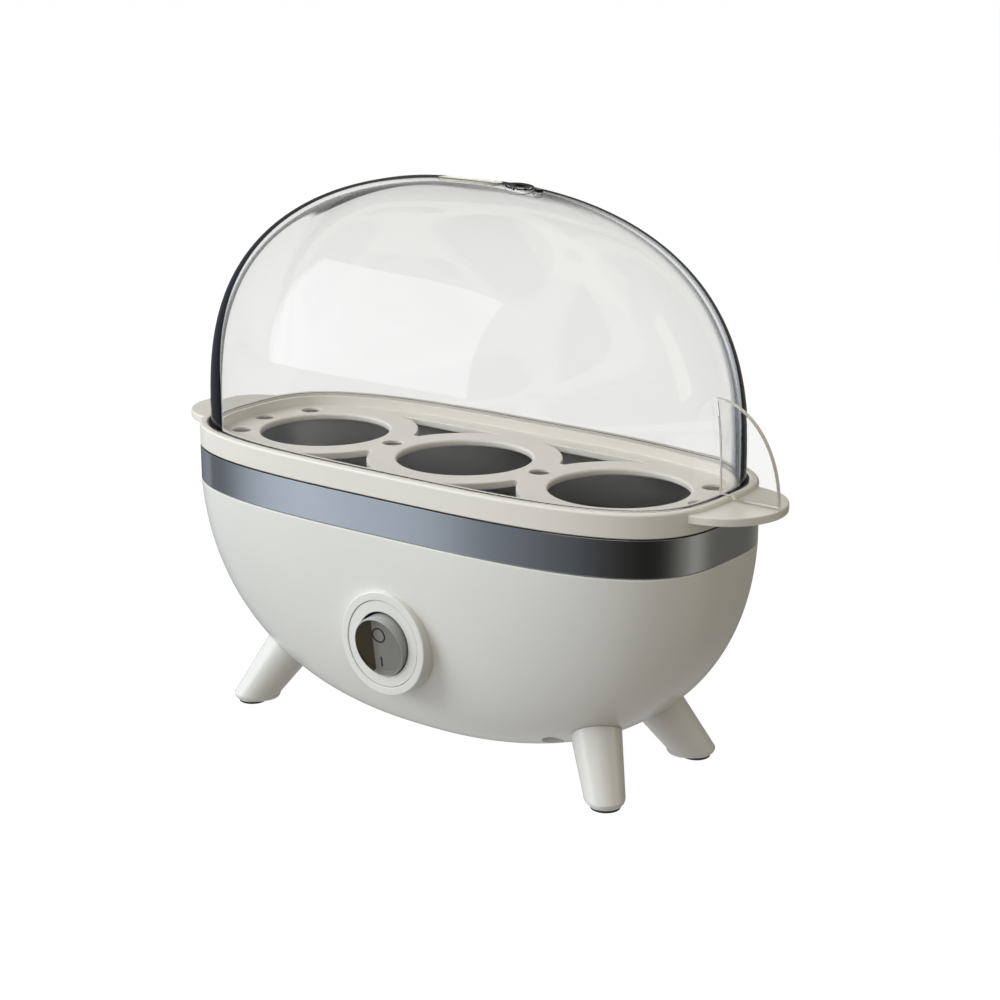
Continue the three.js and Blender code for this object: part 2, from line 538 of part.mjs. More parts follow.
// ---------------------------------------------------------------- leads, held from end to end
// The straight stretch of a lead next to one of its ends, running off along a direction.
const stub = ([x, y, z], [dx, dy, dz]) =>
  [0, 1.5, 3].map((run) => [x + dx * run, y + dy * run, z + dz * run]);
const FRONT = [0, -1, 0];
const REAR = [0, 1, 0];
const DOWN = [0, 0, -1];
const tabEnd = (side) => [SWITCH.x, NOSE.back + 8 + GAP, SWITCH.z + side * TAB_Z];
const fuseEnd = (side) => [FUSE.x, side * (FUSE.half + GAP), FUSE_Z];
const bladeEnd = (side) => [side * THERMOSTAT.bladeX, 0, THERMOSTAT.blade - GAP];
const pinEnd = (side) => [side * ELEMENT.gapX, ELEMENT.side, ELEMENT.pinDown - GAP];
const blockEnd = (side) => [side * BLOCK.poleX, BLOCK.y - 3, BLOCK.wireZ];
const leads = [
  ['lead_supply_to_switch', LOOK.red, stub(blockEnd(-1), FRONT),
    [[-5.6, -4.8, 20], [-2.6, -7, 27]], stub(tabEnd(-1), REAR)],
  ['lead_switch_to_fuse', LOOK.red, stub(tabEnd(1), REAR),
    [[8, -9.4, 46.6], [16, -11, 51.6]], stub(fuseEnd(-1), FRONT)],
  ['lead_fuse_to_thermostat', LOOK.red, stub(fuseEnd(1), REAR),
    [[20.5, 10.4, 50.2], [17, 8, 43], [10, 2.4, 36.2]], stub(bladeEnd(1), DOWN)],
  ['lead_thermostat_to_element', LOOK.red, stub(bladeEnd(-1), DOWN),
    [[-6.5, 6, 34.4], [-10.5, 13, 34.4]], stub(pinEnd(-1), DOWN)],
  ['lead_element_to_supply', LOOK.blue, stub(pinEnd(1), DOWN),
    [[13.6, 11, 28], [14.4, 3, 21.6], [11.5, -3.6, 18.4]], stub(blockEnd(1), FRONT)],
];
for (const [name, look, start, between, end] of leads) {
  const points = [...start, ...between, ...end.reverse()].map((point) => new THREE.Vector3(...point));
  piece(name, tube(new THREE.CatmullRomCurve3(points, false, 'centripetal'), LEAD_RADIUS, 16, 6), look);
}

// ---------------------------------------------------------------- egg tray with its two ears
// A curved triangle between two egg rings, its base along the long wall.
function trayCutout() {
  const { ring, front, tip } = CUTOUT;
  const half = EGG.pitch / 2;
  const base = front - 1;
  const hip = (y) => half - Math.sqrt(ring * ring - y * y);
  const steps = 5;
  const flank = Array.from({ length: steps }, (_, i) => {
    const y = tip + 1.4 + (base - tip - 1.4) * (i / (steps - 1));
    return [hip(y), y];
  });
  const shape = new THREE.Shape();
  shape.moveTo(0, tip);
  flank.forEach(([x, y]) => shape.lineTo(x, y));
  shape.lineTo(flank[steps - 1][0] - 1.6, front);
  shape.lineTo(-flank[steps - 1][0] + 1.6, front);
  flank.reverse().forEach(([x, y]) => shape.lineTo(-x, y));
  shape.closePath();
  return plate(shape, TRAY.under - 1, TRAY.floor + 1);
}

function eggTray() {
  const { skirt, under, floor, groove, rim, lip, rib, ribTop, wall } = TRAY;
  const dish = oval([pole(under), rimRing(1.6, under), rimRing(1.6, skirt), rimRing(0, skirt),
    rimRing(0, rim - 0.7), rimRing(0.25, rim - 0.2), rimRing(0.8, rim), rimRing(lip, rim),
    rimRing(lip, groove), rimRing(rib, groove), rimRing(rib, ribTop), rimRing(wall - 0.1, ribTop),
    rimRing(wall, floor), pole(floor)]);
  const earOutline = new THREE.Shape();
  earOutline.absellipse(EAR.centre, 0, EAR.reach, EAR.half, 0, 2 * Math.PI);
  const ear = cut(plate(earOutline, EAR.bottom, EAR.top, 18),
    oval([pole(skirt), rimRing(0.9, skirt), rimRing(0.9, rim), pole(rim)]));
  const above = floor + 1;
  const holes = [-1, 0, 1].map((k) => turned([[0, under - 1], [EGG.radius, under - 1],
    [EGG.radius, floor - EGG.chamfer], [EGG.radius + EGG.chamfer + 1, above], [0, above]], 28)
    .translate([k * EGG.pitch, 0, 0]));
  const steam = [-1, 1].flatMap((sx) => [[sx * EGG.pitch / 2, 0], [sx * STEAM.endX, 0],
    [sx * STEAM.sideX, STEAM.sideY], [sx * STEAM.sideX, -STEAM.sideY]])
    .flatMap(([x, y]) => [upRod(x, y, STEAM.radius, under - 1, above, 14),
      upRod(x, y, STEAM.radius + STEAM.relief, under - 1, floor - STEAM.web, 14)]);
  const gaps = [-1, 1].flatMap((sx) => [0, 180].map((turn) =>
    trayCutout().rotate([0, 0, turn]).translate([sx * EGG.pitch / 2, 0, 0])));
  return cut(join(dish, ear, ear.rotate([0, 0, 180])), ...holes, ...steam, ...gaps);
}
piece('egg_tray', eggTray(), LOOK.tray);

// ---------------------------------------------------------------- clear lid with its fin
function domeRing(h, thin) {
  const top = DOME.top - thin;
  if (h >= 1) return pole(top);
  return {
    a: (DOME.a - thin) * curveAt(h, DOME_LONG),
    b: (DOME.b - thin) * curveAt(h, DOME_CROSS),
    n: RIM.n,
    z: DOME.base + h * (top - DOME.base),
  };
}
const DOME_LEVELS = 9;
const domeHeights = Array.from({ length: DOME_LEVELS }, (_, i) => Math.sin((i / DOME_LEVELS) * Math.PI / 2));

// The end view of the dome, at y = 0, sunk into its wall by depth.
const domeEdge = (z, depth) => {
  const h = (z - DOME.base) / (DOME.top - DOME.base);
  return DOME.a * curveAt(Math.max(h, 0), DOME_LONG) - depth;
};

function fin() {
  const { x, z, reach, height, thick, over, step } = FIN;
  const outline = new THREE.Shape();
  const inside = 0.9;
  outline.moveTo(domeEdge(over, inside), over);
  outline.lineTo(step, over);
  outline.lineTo(step + 0.4, z);
  const arcSteps = 12;
  for (let i = 0; i <= arcSteps; i += 1) {
    const angle = (i / arcSteps) * 1.42;
    outline.lineTo(x + reach * Math.cos(angle), z + height * Math.sin(angle));
  }
  const wallSteps = 4;
  const high = z + height;
  for (let i = 0; i < wallSteps; i += 1) {
    const level = high + (over - high) * (i / wallSteps);
    outline.lineTo(domeEdge(level, inside), level);
  }
  outline.closePath();
  return solid(new THREE.ExtrudeGeometry(outline, { depth: thick, bevelEnabled: false })
    .translate(0, 0, -thick / 2).rotateX(Math.PI / 2));
}

// The dome's long middle line: its height over x, and its slope there in degrees.
const ridgeHeight = (x) =>
  DOME.base + (DOME.top - DOME.base) * (1 - (x / DOME.a) ** DOME_LONG.round) ** (1 / DOME_LONG.rise);
const ridgeLean = (x) => THREE.MathUtils.radToDeg(Math.atan2(ridgeHeight(x - 1) - ridgeHeight(x + 1), 2));

// A low round button on the ridge, square to it, with a bevelled edge.
function ridgeButton(x, radius, proud, sides) {
  const bevel = 0.5;
  return turned([[0, -1], [radius, -1], [radius, 0], [radius - bevel, proud], [0, proud]], sides)
    .rotate([0, ridgeLean(x), 0]).translate([x, 0, ridgeHeight(x)]);
}

function lid() {
  const { base, foot, flange, wall } = DOME;
  const outer = [...domeHeights.map((h) => domeRing(h, 0)), pole(DOME.top)].reverse();
  const inner = [...domeHeights.map((h) => domeRing(h, wall)), pole(DOME.top - wall)];
  const shell = oval([...outer, rimRing(flange + 0.3, base), rimRing(flange, base - 0.3),
    rimRing(flange, foot), { ...domeRing(0, wall), z: foot }, ...inner]);
  const ventTop = ridgeHeight(VENT.x);
  const boss = ridgeButton(VENT.x, VENT.boss, VENT.proud, 20);
  const pip = ridgeButton(PIP.x, PIP.radius, PIP.proud, 12);
  const bore = upRod(VENT.x, 0, VENT.bore, ventTop - 4, ventTop + 3, 14);
  return cut(join(shell, boss, pip, fin()), bore);
}
piece('lid', lid(), LOOK.clear);

export default root;
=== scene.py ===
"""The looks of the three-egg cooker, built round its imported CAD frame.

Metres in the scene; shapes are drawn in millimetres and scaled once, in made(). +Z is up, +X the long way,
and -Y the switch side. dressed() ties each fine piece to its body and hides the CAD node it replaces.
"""

import json
import math

import bmesh
import bpy
from mathutils import Matrix, Vector


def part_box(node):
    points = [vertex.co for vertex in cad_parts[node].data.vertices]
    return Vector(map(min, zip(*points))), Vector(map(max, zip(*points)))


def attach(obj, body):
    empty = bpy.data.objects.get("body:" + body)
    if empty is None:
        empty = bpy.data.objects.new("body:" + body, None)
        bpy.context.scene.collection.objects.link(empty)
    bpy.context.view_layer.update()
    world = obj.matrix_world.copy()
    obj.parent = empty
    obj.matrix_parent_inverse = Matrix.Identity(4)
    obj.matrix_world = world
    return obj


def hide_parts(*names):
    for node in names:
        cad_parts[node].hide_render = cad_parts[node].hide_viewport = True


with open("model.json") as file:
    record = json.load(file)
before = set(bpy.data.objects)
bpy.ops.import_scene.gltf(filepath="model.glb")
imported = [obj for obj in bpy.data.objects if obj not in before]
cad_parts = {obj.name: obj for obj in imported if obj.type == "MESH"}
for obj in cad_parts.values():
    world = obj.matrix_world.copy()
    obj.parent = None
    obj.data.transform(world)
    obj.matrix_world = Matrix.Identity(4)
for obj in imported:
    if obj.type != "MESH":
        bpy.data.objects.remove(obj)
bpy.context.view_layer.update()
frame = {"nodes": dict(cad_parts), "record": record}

MM = 0.001
TAU = 2 * math.pi


def cad(node):
    """A CAD node's lowest and highest corner, in millimetres."""
    return tuple(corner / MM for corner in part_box(node))


# ---------------------------------------------------------------- sizes, in millimetres
BAND_LOW, BAND_HIGH = cad("trim_band")
TRAY_LOW, TRAY_HIGH = cad("egg_tray")
HULL_LOW, HULL_HIGH = cad("hull_shell")
LID_LOW = cad("lid")[0]
PAN_HIGH = cad("heating_pan")[1]

AROUND = 192                                     # facets around the long oval pieces
LID_AROUND = 224                                 # and around the lid
RIM = {"a": BAND_HIGH.x, "b": BAND_HIGH.y, "n": 3.3}

HULL = {"top": BAND_LOW.z - 0.3, "bottom": HULL_LOW.z, "wall": 2.6, "n": 2.36}
HULL_LONG = {"rise": 2.2, "round": 2.78}
HULL_CROSS = {"rise": 1.94, "round": 3.86}
NECK = {"outer": 1.1, "inner": 3.3}
BAND_THICK = 0.8
PAN = {"floor": 57.0, "sheet": 1.0, "inset": 1.9}

TRAY = {"under": 81.1, "floor": 83.2, "groove": 85.0, "lip": 2.0, "rib": 5.2, "rib_top": 86.1, "wall": 6.2}
EAR = {"bottom": 83.0, "top": 85.3, "centre": 86.0, "half": 17.6}
EGG = {"pitch": 53.4, "radius": 19.4}
STEAM = {"radius": 3.0, "end_x": 78.6, "side_x": 73.3, "side_y": 15.5, "relief": 1.2, "web": 0.8}
CUTOUT = {"ring": 28.0, "front": 27.0, "tip": 9.2}

DOME = {"a": 85.4, "b": 36.4, "base": 86.5, "top": 163.0, "wall": 1.8, "foot": LID_LOW.z, "flange": 2.3}
DOME_LONG = {"rise": 2.75, "round": 2.3}
DOME_CROSS = {"rise": 2.76, "round": 1.76}
FIN = {"x": 83.3, "z": 86.1, "reach": 19.9, "height": 26.5, "thick": 1.6, "over": 86.9, "step": 89.4}
VENT = {"x": 19.2, "boss": 4.0, "bore": 1.6, "proud": 0.35}
PIP = {"x": 25.4, "radius": 1.3, "proud": 0.8}
RIDGE_SLOT = {"x": 2.0, "half": 11.0, "wide": 1.9, "deep": 0.45}

LEG = {"foot_x": 66.5, "foot_y": 23.4, "lean_x": 0.544, "lean_y": 0.486, "ankle": 3.4, "tip": 5.7,
       "root": 8.3, "long": 36.0, "fillet": 1.8, "rise": 1.9}
PAD = {"x": 65.8, "y": 22.8, "radius": 4.2, "high": 2.0, "sole": 0.8, "room": 0.15, "over": 0.1}

SWITCH = {"x": 2.0, "z": 38.1, "face": 40.5, "ring": 15.0, "ring_back": 26.0, "seat": 12.6, "floor": 37.6,
          "chamfer": 0.15, "bore": 10.8, "bore_back": 20.0, "bore_front": 39.0, "hole": 9.2}
NOSE = {"outer": 10.1, "inner": 9.5, "front": 39.4, "barrel": 10.5, "back": 22.0, "recess_back": 28.5}
ROCKER = {"pivot": 37.6, "radius": 8.75, "brow": 8.35, "front": 4.6, "back": 2.2, "roll": 0.7, "dish": 1.5,
          "crease": -1.2, "tilt": 8.0}
MARKS = {"middle": -0.6, "off_z": 3.1, "off_inner": 1.85, "off_outer": 2.25, "on_z": -5.0, "on_reach": 1.45,
         "on_half": 0.25, "proud": 0.09, "sunk": 0.3}
GLAND = {"z": 32.0, "face": 38.2, "boss": 8.0, "boss_back": 25.0, "flange": 6.5, "collar": 2.3, "stem": 5.4,
         "body": 4.5, "bore": 3.5, "end": 43.9, "inner": 31.5}
CORD_HOLE = {"radius": 4.8, "back": 22.0, "front": 42.0}
WELL = {"x": 33.5, "radius": 3.5, "neck": 1.9, "pillar": 5.0, "low": 4.0, "top": 40.0, "shoulder": 36.0}
SCREW = {"long": 7.0, "shank": 1.6, "head": 2.8, "high": 2.3, "slot_half": 1.5, "slot_side": 0.28,
         "slot_floor": 1.3}
DRAIN = {"x": 45.0, "y": 18.5, "radius": 3.1, "top": 26.0}


# ---------------------------------------------------------------- making meshes
def made(name, bm):
    """A bmesh drawn in millimetres as a new object in metres, its faces turned outward."""
    bmesh.ops.recalc_face_normals(bm, faces=bm.faces)
    mesh = bpy.data.meshes.new(name)
    bm.to_mesh(mesh)
    bm.free()
    mesh.transform(Matrix.Scale(MM, 4))
    obj = bpy.data.objects.new(name, mesh)
    bpy.context.scene.collection.objects.link(obj)
    return obj


def span(bm, low, high):
    """Faces between two closed rows of vertices; a row of one vertex is a pole."""
    count = max(len(low), len(high))
    for i in range(count):
        j = (i + 1) % count
        corners = [low[i % len(low)], low[j % len(low)], high[j % len(high)], high[i % len(high)]]
        bm.faces.new(list(dict.fromkeys(corners)))


def skin(name, loops, cyclic=False):
    """A mesh through loops of points: a loop of one point closes an end, and cyclic joins the last loop to
    the first."""
    bm = bmesh.new()
    rows = [[bm.verts.new(point) for point in loop] for loop in loops]
    pairs = list(zip(rows, rows[1:]))
    if cyclic:
        pairs.append((rows[-1], rows[0]))
    for low, high in pairs:
        span(bm, low, high)
    return made(name, bm)


def plate(name, stacks):
    """A flat-faced piece: each stack of loops is a wall, from the bottom face to the top face."""
    bm = bmesh.new()
    rims = ([], [])
    for loops in stacks:
        rows = [[bm.verts.new(point) for point in loop] for loop in loops]
        for low, high in zip(rows, rows[1:]):
            span(bm, low, high)
        for rim, row in zip(rims, (rows[0], rows[-1])):
            rim.extend(bm.edges.get((row[i - 1], row[i])) for i in range(len(row)))
    for rim in rims:
        bmesh.ops.triangle_fill(bm, edges=rim, use_beauty=True)
    return made(name, bm)


def oval(a, b, n, z, around=AROUND):
    """A loop along the superellipse |x/a|^n + |y/b|^n = 1, counterclockwise from +X."""
    loop = []
    for i in range(around):
        c, s = math.cos(TAU * i / around), math.sin(TAU * i / around)
        reach = (abs(c) ** n + abs(s) ** n) ** (-1 / n)
        loop.append((a * reach * c, b * reach * s, z))
    return loop


def rim_loop(inset, z):
    return oval(RIM["a"] - inset, RIM["b"] - inset, RIM["n"], z)


def softened(profile, radius, closed=False, steps=4):
    """A 2-D line with its corners rounded. radius is one number, or one for each corner."""
    count = len(profile)
    radii = radius if isinstance(radius, list) else [radius] * count
    line = []
    for i, (corner, round_by) in enumerate(zip(profile, radii)):
        if round_by == 0 or (not closed and i in (0, count - 1)):
            line.append(tuple(corner))
            continue
        middle = Vector(corner)
        back = Vector(profile[i - 1]) - middle
        on = Vector(profile[(i + 1) % count]) - middle
        reach = min(round_by / math.tan(back.angle(on) / 2), 0.49 * back.length, 0.49 * on.length)
        start, end = middle + back.normalized() * reach, middle + on.normalized() * reach
        for k in range(steps + 1):
            t = k / steps
            line.append(tuple((1 - t) ** 2 * start + 2 * t * (1 - t) * middle + t * t * end))
    return line


def turned(name, profile, matrix=Matrix(), around=96):
    """A turned piece; the profile's points are (radius, height), from pole to pole or a closed section."""
    poles = profile[0][0] == 0
    loops = [[(0, 0, h)] if r == 0 else oval(r, r, 2, h, around) for r, h in profile]
    obj = skin(name, loops, cyclic=not poles)
    obj.data.transform(matrix)
    return obj


def rod(name, radius, low, high, matrix, around=96, edge=0):
    """A cylinder between two heights, its top edge rounded by edge."""
    profile = softened([(0, low), (radius, low), (radius, high), (0, high)], [0, 0, edge, 0])
    return turned(name, profile, matrix, around)
def wall(outline, low, high, edge, steps=4):
    """Loops up a plate's side, rounded at both faces: outline counterclockwise, or clockwise for a hole."""
    count = len(outline)
    inward = []
    for i in range(count):
        run = (Vector(outline[(i + 1) % count]) - Vector(outline[i - 1])).normalized()
        inward.append(Vector((-run.y, run.x)))
    quarter = [(edge * (1 - math.sin(t)), edge * (1 - math.cos(t)))
               for t in (k * math.pi / 2 / steps for k in range(steps + 1))]
    layers = [(inset, low + rise) for inset, rise in quarter]
    layers += [(inset, high - rise) for inset, rise in reversed(quarter)]
    return [[(x + side.x * inset, y + side.y * inset, z) for (x, y), side in zip(outline, inward)]
            for inset, z in layers]


def circle(x, y, radius, around, hole=False):
    """A round outline, counterclockwise, or clockwise for a hole."""
    turn = -1 if hole else 1
    return [(x + radius * math.cos(TAU * i / around), y + turn * radius * math.sin(TAU * i / around))
            for i in range(around)]


def at(x, y, z):
    return Matrix.Translation(Vector((x, y, z)) * MM)


FRONTWARD = Matrix.Rotation(math.radians(90), 4, "X")      # lays a turned piece's +Z along -Y
REARWARD = Matrix.Rotation(math.radians(-90), 4, "X")      # and along +Y


def shaped(target, operation, *tools):
    """Cuts the tools out of the target or joins them to it, and removes them."""
    for tool in tools:
        change = target.modifiers.new(operation, "BOOLEAN")
        change.operation, change.solver, change.object = operation, "MANIFOLD", tool
    bpy.context.view_layer.update()
    result = bpy.data.meshes.new_from_object(target.evaluated_get(bpy.context.evaluated_depsgraph_get()))
    target.modifiers.clear()
    target.data = result
    for tool in tools:
        bpy.data.objects.remove(tool)
    return target


def dressed(obj, body, slot, material, *nodes, sharp=32):
    """Shades a piece, gives it its material, ties it to its body and hides the CAD nodes it replaces; slot is
    not used.
    """
    obj.data.shade_smooth()
    obj.data.set_sharp_from_angle(angle=math.radians(sharp))
    even = obj.modifiers.new("even_flats", "WEIGHTED_NORMAL")
    even.keep_sharp = True
    obj.data.materials.clear()
    obj.data.materials.append(material)
    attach(obj, body)
    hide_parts(*nodes)
    return obj


# ---------------------------------------------------------------- materials
def tone(red, green, blue):
    """An sRGB colour, 0 to 255, as the shader's linear colour."""
    return tuple((c / 255 / 12.92) if c < 11 else ((c / 255 + 0.055) / 1.055) ** 2.4
                 for c in (red, green, blue)) + (1.0,)


def node(tree, kind, inputs=None, **settings):
    """A new shader node; an input takes a value, or a socket to link from."""
    new = tree.nodes.new("ShaderNode" + kind)
    for key, value in settings.items():
        setattr(new, key, value)
    for key, value in (inputs or {}).items():
        if isinstance(value, bpy.types.NodeSocket):
            tree.links.new(value, new.inputs[key])
        else:
            new.inputs[key].default_value = value
    return new


def patterned(name, colors, roughness, cloud=30.0, grain=0.5, relief=0.0, stretch=(1, 1, 1), **fixed):
    """A Principled material: two close colours in soft clouds, roughness that follows a second cloud, and a
    fine grain in relief. cloud, grain and relief are in millimetres; stretch lengthens the grain."""
    material = bpy.data.materials.new(name)
    material.use_nodes = True
    tree = material.node_tree
    shader = tree.nodes["Principled BSDF"]
    where = node(tree, "TexCoord").outputs["Object"]
    clouds = node(tree, "TexNoise", {"Vector": where, "Scale": 1 / (cloud * MM), "Detail": 4.0})
    blend = node(tree, "Mix", {"Factor": clouds.outputs["Fac"], "A": colors[0], "B": colors[1]},
                 data_type="RGBA")
    tree.links.new(blend.outputs["Result"], shader.inputs["Base Color"])
    drawn = node(tree, "Mapping", {"Vector": where, "Scale": stretch})
    fine = node(tree, "TexNoise", {"Vector": drawn.outputs["Vector"], "Scale": 1 / (grain * MM),
                                   "Detail": 3.0})
    spread = node(tree, "MapRange", {"Value": fine.outputs["Fac"], "From Min": 0.3, "From Max": 0.7,
                                     "To Min": roughness[0], "To Max": roughness[1]})
    tree.links.new(spread.outputs["Result"], shader.inputs["Roughness"])
    if relief:
        bump = node(tree, "Bump", {"Height": fine.outputs["Fac"], "Strength": 1.0, "Distance": relief * MM})
        tree.links.new(bump.outputs["Normal"], shader.inputs["Normal"])
    for key, value in fixed.items():
        shader.inputs[key.replace("_", " ")].default_value = value
    return material


def fill_ramp(ramp, stops):
    """Gives a colour ramp its stops: (position, colour), in order."""
    while len(ramp.elements) < len(stops):
        ramp.elements.new(0.5)
    for element, (position, color) in zip(ramp.elements, stops):
        element.position, element.color = position, color


# The lid's colour where it is seen edge on, from its left end, 0, to its right end, 1: painted shade, near
# black on the left, that turns to a grey-blue painted reflection on the right
LID_PAINTED_EDGE_SHADE = [(0.2, (0.002, 0.002, 0.003, 1)), (0.4, (0.06, 0.055, 0.05, 1)),
              (0.62, (0.13, 0.125, 0.115, 1)), (0.92, (0.14, 0.17, 0.22, 1))]
# The colour of the thin black rim outside it, painted shade too
LID_PAINTED_RIM_SHADE = (0.004, 0.005, 0.007, 1)
# How far from facing, 0 to 1, the painted shade on its wall begins, low and high up; the rest are steps from
# there:
# how much sooner it begins on the right, where it is full, and where the painted black rim begins and is full
LID_PAINTED_EDGE = {"low": 0.58, "high": 0.72, "sooner": 0.07, "full": 0.03, "rim": 0.05, "black": 0.09}


def clear_plastic():
    """Clear lid plastic that refracts and lets soft light through. Seen edge on it is dark, with a thin black
    rim outside: painted shade, with a grey-blue painted reflection on the right. What is dark is solid on the
    left, and only the rim is on the right."""
    material = patterned("clear_lid", (tone(243, 243, 242), tone(246, 246, 245)), (0.0, 0.0),
                         cloud=45, grain=8, Transmission_Weight=1.0, IOR=1.49,
                         Specular_IOR_Level=0.05, Specular_Tint=(0.5, 0.5, 0.5, 1))
    tree = material.node_tree
    shader = tree.nodes["Principled BSDF"]
    facing = node(tree, "LayerWeight", {"Blend": 0.5}).outputs["Facing"]
    place = node(tree, "SeparateXYZ", {"Vector": node(tree, "TexCoord").outputs["Object"]})
    along = node(tree, "MapRange", {"Value": place.outputs["X"], "From Min": -0.08, "From Max": 0.08})
    start = node(tree, "MapRange", {"Value": place.outputs["Z"], "From Min": 0.1, "From Max": 0.16,
                                    "To Min": LID_PAINTED_EDGE["low"], "To Max": LID_PAINTED_EDGE["high"]})

    def after(step):
        """The start moved on by a step."""
        return node(tree, "Math", {0: start.outputs["Result"], 1: step}, operation="ADD").outputs["Value"]

    def rising(low, high):
        """A smooth step from 0 to 1 as the wall turns away from the eye."""
        return node(tree, "MapRange", {"Value": facing, "From Min": low, "From Max": high},
                    interpolation_type="SMOOTHSTEP").outputs["Result"]

    def rightward(high):
        """A ramp from 0, left of the middle, to high, right of it."""
        return node(tree, "MapRange", {"Value": along.outputs["Result"], "From Min": 0.3, "From Max": 0.6,
                                       "To Min": 0.0, "To Max": high}).outputs["Result"]

    begin = node(tree, "Math", {0: start.outputs["Result"], 1: rightward(LID_PAINTED_EDGE["sooner"])},
                 operation="SUBTRACT")
    band = rising(begin.outputs["Value"], after(LID_PAINTED_EDGE["full"]))
    rim = rising(after(LID_PAINTED_EDGE["rim"]), after(LID_PAINTED_EDGE["black"]))
    # The painted shade's colour along the lid
    thick = node(tree, "ValToRGB", {"Fac": along.outputs["Result"]})
    fill_ramp(thick.color_ramp, LID_PAINTED_EDGE_SHADE)
    clouds = shader.inputs["Base Color"].links[0].from_socket
    edge_shaded = node(tree, "Mix", {"Factor": band, "A": clouds, "B": thick.outputs["Color"]}, data_type="RGBA")
    rim_shaded = node(tree, "Mix", {"Factor": rim, "A": edge_shaded.outputs["Result"], "B": LID_PAINTED_RIM_SHADE}, data_type="RGBA")
    tree.links.new(rim_shaded.outputs["Result"], shader.inputs["Base Color"])
    # The lid is solid, not clear, where its painted shade is full: the whole band on the left, only the rim
    # on the right
    solid = node(tree, "Mix", {"Factor": rightward(1.0), "A": band, "B": rim})
    clear = node(tree, "Math", {0: 1.0, 1: solid.outputs["Result"]}, operation="SUBTRACT")
    tree.links.new(clear.outputs["Value"], shader.inputs["Transmission Weight"])
    return lets_light_through(material)


def lets_light_through(material):
    """Lamps and the light scattered by other pieces pass straight through the material."""
    tree = material.node_tree
    solid = tree.nodes["Principled BSDF"].outputs["BSDF"]
    path = node(tree, "LightPath")
    soft = node(tree, "Math", {0: path.outputs["Is Shadow Ray"], 1: path.outputs["Is Diffuse Ray"]},
                operation="MAXIMUM")
    through = node(tree, "BsdfTransparent", {"Color": (0.93, 0.93, 0.93, 1)})
    mixed = node(tree, "MixShader", {0: soft.outputs["Value"], 1: solid, 2: through.outputs["BSDF"]})
    tree.links.new(mixed.outputs["Shader"], tree.nodes["Material Output"].inputs["Surface"])
    return material


def left_in_painted_shade(name, colors, dark, border):
    """Smoked plastic, grey right of an upright border, in millimetres along X, and dark left of it: painted
    shade on the dish's left flank.
    """
    material = patterned(name, colors, (0.14, 0.2), cloud=9, grain=1.2, relief=0.0006, IOR=1.45)
    tree = material.node_tree
    shader = tree.nodes["Principled BSDF"]
    where = node(tree, "SeparateXYZ", {"Vector": node(tree, "TexCoord").outputs["Object"]}).outputs["X"]
    blur = 0.25
    side = node(tree, "MapRange", {"Value": where, "From Min": (border - blur) * MM,
                                   "From Max": (border + blur) * MM}, interpolation_type="SMOOTHSTEP")
    grey = shader.inputs["Base Color"].links[0].from_socket
    # dark is the colour of the painted shade
    both = node(tree, "Mix", {"Factor": side.outputs["Result"], "A": dark, "B": grey}, data_type="RGBA")
    tree.links.new(both.outputs["Result"], shader.inputs["Base Color"])
    return material


SHELL = patterned("shell_plastic", (tone(225, 224, 218), tone(221, 219, 212)), (0.19, 0.25),
                  cloud=60, grain=1.6, relief=0.0015, IOR=1.5)
TRAY_PLASTIC = patterned("tray_plastic", (tone(226, 222, 213), tone(222, 217, 207)), (0.28, 0.34),
                         cloud=60, grain=1.4, relief=0.001, IOR=1.5)
BAND_STEEL = patterned("band_steel", (tone(203, 208, 214), tone(196, 201, 208)), (0.1, 0.17),
                       cloud=25, grain=0.35, relief=0.0004, stretch=(0.06, 0.06, 1), Metallic=1.0)
PAN_STEEL = patterned("pan_steel", (tone(118, 117, 114), tone(110, 109, 106)), (0.3, 0.36),
                      cloud=30, grain=0.5, relief=0.0006, stretch=(0.1, 1, 1), Metallic=1.0)
ZINC = patterned("zinc_steel", (tone(168, 172, 176), tone(150, 154, 160)), (0.35, 0.5),
                 cloud=3, grain=0.4, relief=0.004, Metallic=1.0)
BRASS = patterned("brass", (tone(202, 168, 92), tone(188, 150, 76)), (0.28, 0.4),
                  cloud=4, grain=0.4, relief=0.003, Metallic=1.0)
CLEAR = clear_plastic()
FIN_CLEAR = lets_light_through(patterned("fin_clear", (tone(244, 244, 243), tone(247, 247, 246)), (0.0, 0.03),
                                         cloud=20, grain=5, Transmission_Weight=1.0, IOR=1.49))
# A cream, frost-like material: a moulded edge that is partly painted highlight, and a painted highlight in
# the ridge slot
FROSTED_AND_HIGHLIGHT = patterned("frosted_edge_and_highlight", (tone(252, 249, 241), tone(248, 244, 235)), (0.3, 0.4),
                    cloud=6, grain=0.8, relief=0.0006, Transmission_Weight=0.2, IOR=1.49)
SMOKE = patterned("smoked_plastic", (tone(96, 93, 88), tone(88, 85, 79)), (0.12, 0.2),
                  cloud=8, grain=1.0, relief=0.001, IOR=1.6)
# The rocker's smoked plastic, with painted shade on the left of its face
ROCKER_SMOKE_AND_SHADE = left_in_painted_shade("rocker_smoke_and_shade", (tone(124, 122, 115), tone(117, 115, 107)), tone(56, 49, 31), -0.7)
